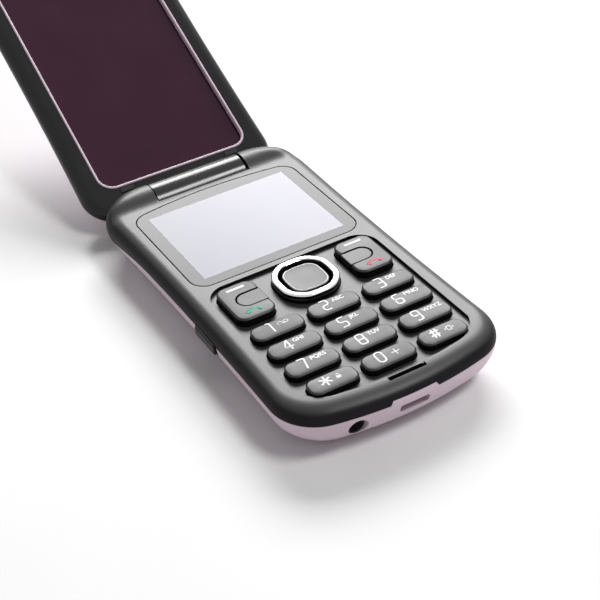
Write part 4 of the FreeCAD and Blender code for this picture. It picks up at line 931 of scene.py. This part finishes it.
def makeNavRing():
    # chrome crown; painted shade on the black inner slope; the skirt painted black as a painted reflection, with a
    # chrome line round it as a painted highlight
    top = base["thickness"] + nav["rise"]
    half, band = nav["size"] / 2, nav["band"]
    section = [(0, keys["bottom"], 1), (0, top - 1.3, 1), (0, top - 1.2, 0), (0, top - 1.08, 0), (0, top - 0.95, 1),
               (0, top - 0.62, 1)]
    for i in range(1, 9):
        turn = math.radians(90 * i / 8)
        section.append((0.5 * (1 - math.cos(turn)), top - 0.5 + 0.5 * math.sin(turn), 0))
    section += [(0.9, top - 0.01, 0), (1.2, top - 0.05, 0), (1.38, top - 0.13, 0), (1.46, top - 0.22, 1),
                (1.54, top - 0.5, 1), (band, top - 0.9, 1), (band, keys["bottom"], 1)]
    rings = [level(bowedOutline(softY, half - inset, nav["corner"] - inset * 0.85, nav["bulge"], 12, 10), z)
             for inset, z, _ in section]
    ring = stack("navRing", rings + [rings[0]], False)
    paint(ring, "chrome", "blackAndPaintedShade")
    count = len(rings[0])
    steps = [max(a[2], b[2]) for a, b in zip(section, section[1:])] + [1]
    for index, face in enumerate(ring.data.polygons):
        face.material_index = steps[index // count]
    smooth(outward(ring, closeSeam), 60)
    finished(ring, "nav_ring_body", "nav_ring")


def makeSelectKey():
    # slightly dished top inside a thin bright rim; the side wall is black as painted shade
    top = base["thickness"] + nav["selectRise"]
    half = nav["select"] / 2
    section = [(0, keys["bottom"], 1), (0, top - 0.24, 2), (0.06, top - 0.08, 2), (0.16, top, 2),
               (0.36, top - 0.02, 0), (0.5, top - 0.04, 0), (0.8, top - 0.06, 0), (1.6, top - 0.1, 0),
               (2.6, top - 0.13, 0)]
    rings = []
    for inset, z, _ in section:
        outline = bowedOutline(softY, half - inset, max(nav["selectCorner"] - inset * 0.6, 0.5), nav["selectBulge"],
                               10, 10)
        rings.append(level(outline, z))
    key = stack("selectKey", rings)
    paint(key, "selectTop", "blackAndPaintedShade", "rimGrey")
    count = len(rings[0])
    steps = [max(a[2], b[2]) if 2 in (a[2], b[2]) and a[2] != 1 else a[2] for a, b in zip(section, section[1:])]
    for index, face in enumerate(key.data.polygons):
        step = index // count
        face.material_index = steps[step] if step < len(steps) else (1 if index % count == 0 else 0)
    smooth(key, 50)
    finished(key, "select_key_body", "select_key")


makeNavRing()
makeSelectKey()
print("navigation keys made")


# how far out the side key reaches, and how much smaller it is there
sideKey = {"inner": -23.2, "corner": 0.8, "leastCorner": 0.2, "steps": ((-25.45, 0.0), (-25.65, 0.12), (-25.77, 0.4)),
           "tip": 0.8}


def makeSideKey():
    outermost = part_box("side_key")[0].x / mm
    rings = []
    for x, inset in ((sideKey["inner"], 0), *sideKey["steps"], (outermost, sideKey["tip"])):
        corner = max(sideKey["corner"] - inset, sideKey["leastCorner"])
        ring = roundedOutline(sideWindow["y"], sideWindow["z"], sideWindow["length"] / 2 - inset,
                              sideWindow["height"] / 2 - inset, corner, 6)
        rings.append([(x, y, z) for y, z in ring])
    key = stack("sideKey", rings)
    smooth(key, 50)
    paint(key, "blackAndPaintedShade")
    finished(key, "side_key_body", "side_key")


makeSideKey()


# ---- cover, drawn shut and swung to its open stop ----

cover = {"low": 12.5, "mid": 15.3, "top": 18.4, "inset": 0.2, "setBack": 2.7, "corner": 8.0, "innerRound": 3.0,
         "outerRound": 9.0, "barrelHalf": 12.0, "neckBack": 7.2, "seam": 0.1, "far": 40, "barrelGap": 0.5,
         "neckGap": 0.2, "neckY": (36.5, 50), "cutLow": 12, "cutHigh": 20, "skin": 1.2, "rim": 2.3, "steps": 12}
bead = {"half": 20.3, "start": 10.0, "end": 87.3, "corner": 4.2, "width": 0.7, "proud": 0.2, "panel": 13.7,
        "ledge": 14.75, "lap": 1.6, "side": 0.05, "buried": 0.15, "steps": 8}
swing = (Matrix.Translation(Vector((0, hinge["y"], hinge["z"])) * mm)
         @ Matrix.Rotation(math.radians(-hinge["open"]), 4, "X")
         @ Matrix.Translation(Vector((0, -hinge["y"], -hinge["z"])) * mm))


def opened(shape):
    shape.data.transform(swing)
    return shape


def coverRing(sideIn, endIn):
    cornerIn = 0.5 * min(sideIn, endIn)
    return fullRing(planRight(sideIn + cover["inset"], endIn + cover["inset"], hinge["y"] - cover["setBack"],
                              base["endCorner"] - cornerIn, cover["corner"] - cornerIn))


def coverLayer(name, radius, flatZ, seamZ):
    # flat face at flatZ, rounded down to the seam
    rings = []
    for i in range(cover["steps"] + 1):
        turn = math.radians(90 - 90 * i / cover["steps"])
        inward = radius * (1 - math.cos(turn))
        z = seamZ + (flatZ - seamZ) * math.sin(turn)
        rings.append(level(coverRing(inward, inward), z))
    rings.append(level(coverRing(0, 0), seamZ))
    return pillow(name, rings, lambda y: flatZ, lambda y: seamZ)


def beadOutline(inset, steps=10):
    high, low = hinge["y"] - bead["start"], hinge["y"] - bead["end"]
    return roundedOutline(0, (high + low) / 2, bead["half"] - inset, (high - low) / 2 - inset,
                          bead["corner"] - inset, steps)


def neckOutline():
    # barrel, and the neck that rises from it to the cover
    y, z, radius = hinge["y"], hinge["z"], hinge["radius"]
    back, top = y - cover["neckBack"], cover["top"] - 0.1
    points = [(back, cover["low"]), (back, top), (y - 0.75 * radius, top)]
    end = math.radians(20)
    start, crest = Vector((y - 0.75 * radius, top)), Vector((y + 0.57 * radius, z + 1.28 * radius))
    stop = Vector((y + radius * math.cos(end), z + radius * math.sin(end)))
    for i in range(1, 12):
        t = i / 12
        blend = start * ((1 - t) * (1 - 2 * t)) + crest * (4 * t * (1 - t)) + stop * (t * (2 * t - 1))
        points.append((blend.x, blend.y))
    points.append((stop.x, stop.y))
    meet = math.degrees(math.asin((cover["low"] - z) / radius))
    points += arcPoints(y, z, radius, 0, -180 - meet, 60)
    return points


def knuckleRelief():
    radius, barrel, far = hinge["radius"] + hinge["notchGap"], cover["barrelHalf"], cover["far"]
    return joined("relief", [tube("relief", radius, -far, -barrel), tube("relief", radius, barrel, far)])


def makeFlapFrame():
    layer = coverLayer("flapFrame", cover["innerRound"], cover["low"], cover["mid"])
    carve(layer, knuckleRelief())
    low = cover["cutLow"] - 2
    cut(layer, beadOutline(0), low, bead["panel"] + cover["seam"])
    cut(layer, beadOutline(bead["width"]), low, bead["ledge"])
    cut(layer, beadOutline(bead["width"] + bead["lap"]), low, cover["cutHigh"])
    barrel = sideProfile("barrel", neckOutline(), -cover["barrelHalf"], cover["barrelHalf"] - cover["barrelGap"])
    carve(layer, barrel, "UNION")
    soften(layer, 0.18, 3, 40)
    smooth(layer)
    paint(layer, "blackGloss", "barrelShell")
    for face in layer.data.polygons:
        at = face.center / mm
        away = math.hypot(at.y - hinge["y"], at.z - hinge["z"])
        face.material_index = int(abs(at.x) < cover["barrelHalf"] + 0.01 and away < hinge["radius"] + 0.05)
    finished(opened(layer), "cover", "flap_frame")


def makeFlapShell():
    layer = coverLayer("flapShell", cover["outerRound"], cover["top"], cover["mid"] + cover["seam"])
    carve(layer, knuckleRelief())
    cut(layer, block(cover["barrelHalf"] + cover["neckGap"], *cover["neckY"]), cover["cutLow"], cover["cutHigh"])
    cut(layer, beadOutline(cover["rim"]), cover["cutLow"], cover["top"] - cover["skin"])
    soften(layer, 0.15, 3, 40)
    smooth(layer)
    paint(layer, "paleShell")
    finished(opened(layer), "cover", "flap_shell")


def makeBead():
    # half-round trim that follows the window's edge
    side, width, buried = bead["side"], bead["width"], bead["buried"]
    section = [(side, bead["panel"])]
    for i in range(bead["steps"] + 1):
        turn = math.pi * i / bead["steps"]
        section.append((side + (width - side) / 2 * (1 - math.cos(turn)),
                        cover["low"] + buried - (bead["proud"] + buried) * math.sin(turn)))
    section.append((width, bead["panel"]))
    rings = [level(beadOutline(inset, 14), z) for inset, z in section]
    ring = outward(stack("flapBead", rings + [rings[0]], False), closeSeam)
    smooth(ring, 60)
    paint(ring, "paleShell")
    finished(opened(ring), "cover", "flap_bead")


earpiece = {"run": 81.0, "length": 9.0, "width": 1.6, "corner": 0.76}
panelPlate = {"gap": 0.1, "low": 0.05, "high": 1.0}


def makePanel():
    panel = prism("flapPanel", beadOutline(bead["width"] + panelPlate["gap"], 12),
                  bead["panel"] + panelPlate["low"], bead["panel"] + panelPlate["high"])
    cut(panel, roundedOutline(0, hinge["y"] - earpiece["run"], earpiece["length"] / 2, earpiece["width"] / 2,
                              earpiece["corner"], 8), cover["cutLow"], cover["cutLow"] + 4)
    soften(panel, 0.12, 2, 40)
    smooth(panel)
    paint(panel, "darkPanel")
    finished(opened(panel), "cover", "flap_panel")


makeFlapFrame()
makeFlapShell()
makeBead()
makePanel()
print("cover made")


# ---- CAD pieces that keep their shape ----

carried = {
    "mid_frame": "innerPlastic", "main_board": "boardGreen", "lcd_module": "innerPlastic", "keypad_mat": "rubber",
    "dome_sheet": "steel", "battery": "cellFilm", "battery_contacts": "brass", "sim_holder": "steel",
    "loudspeaker": "innerPlastic", "vibration_motor": "steel", "microphone": "steel", "antenna": "brass",
    "camera_module": "innerPlastic", "camera_window": "darkGlass", "usb_socket": "steel", "audio_jack": "innerPlastic",
    "side_switch": "innerPlastic", "hinge_cartridge": "steel", "hinge_tube": "steel", "hinge_shaft": "steel",
    "earpiece": "innerPlastic", "earpiece_mesh": "steel", "flap_magnet": "steel", "flap_bumpers": "rubber",
}
for node, finish in carried.items():
    paint(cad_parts[node], finish)
print("inner pieces painted")


# ---- floor, light and camera ----

studio = {"floor": 2.2, "nearWhite": 0.2, "farWhite": 0.9, "white": 0.75, "fill": 0.3, "seen": 0.9,
          "target": (0, 0, 0.01)}


def makeFloor():
    reach = studio["floor"]
    mesh = bpy.data.meshes.new("floor")
    mesh.from_pydata([(-reach, -reach, 0), (reach, -reach, 0), (reach, reach, 0), (-reach, reach, 0)], [],
                     [(0, 1, 2, 3)])
    material, tree, shader = newMaterial("paleFloor")
    place = coords(tree)
    noise = addNode(tree, "ShaderNodeTexNoise", {"Vector": place, "Scale": 30})
    # white in the distance, for the camera only
    away = addNode(tree, "ShaderNodeVectorMath", {0: place}, operation="LENGTH").outputs["Value"]
    fade = ranged(tree, away, studio["nearWhite"], studio["farWhite"], 0, studio["white"], "SMOOTHSTEP")
    glow = maths(tree, "MULTIPLY", fade, addNode(tree, "ShaderNodeLightPath").outputs["Is Camera Ray"])
    tone = blended(tree, noise.outputs["Fac"], (0.78, 0.78, 0.78), (0.82, 0.82, 0.82))
    feed(tree, shader, {"Base Color": tone, "Roughness": 0.8, "Emission Color": (1, 1, 1, 1),
                        "Emission Strength": glow})
    mesh.materials.append(material)
    addObject("floor", mesh)


def makeWorld():
    world = bpy.data.worlds.new("studio")
    bpy.context.scene.world = world
    world.use_nodes = True
    tree = world.node_tree
    path = addNode(tree, "ShaderNodeLightPath").outputs
    seen = maths(tree, "MAXIMUM", path["Is Camera Ray"], path["Is Glossy Ray"])
    seen = maths(tree, "MAXIMUM", seen, path["Is Transmission Ray"])
    strength = ranged(tree, seen, 0, 1, studio["fill"], studio["seen"])
    feed(tree, tree.nodes["Background"], {"Strength": strength, "Color": (1, 1, 1, 1)})


def areaLight(name, place, size, power):
    light = bpy.data.lights.new(name, "AREA")
    light.shape = "RECTANGLE"
    light.size, light.size_y = size
    light.energy = power
    lamp = addObject(name, light)
    lamp.location = place
    lamp.rotation_euler = (Vector(studio["target"]) - Vector(place)).to_track_quat("-Z", "Y").to_euler()


view = {"place": (-0.11234, -0.21579, 0.18394), "lens": 82.005,
        "right": (0.8587, -0.5086, -0.0623), "down": (-0.3489, -0.4914, -0.798), "ahead": (0.3752, 0.707, -0.5995)}


def makeCamera():
    camera = bpy.data.cameras.new("camera")
    camera.lens = view["lens"]
    camera.sensor_width = 36
    camera.clip_start, camera.clip_end = 0.01, 20
    holder = addObject("camera", camera)
    turn = Matrix((view["right"], -Vector(view["down"]), -Vector(view["ahead"]))).transposed()
    holder.matrix_world = Matrix.Translation(view["place"]) @ turn.to_4x4()
    bpy.context.scene.camera = holder


makeFloor()
makeWorld()
areaLight("backLight", (0.5, 0.78, 0.67), (0.8, 0.46), 16)
areaLight("frontLight", (0.34, -0.35, 0.86), (0.3, 0.2), 3.8)
makeCamera()
bpy.context.scene.view_settings.view_transform = "Standard"
print("stage made")
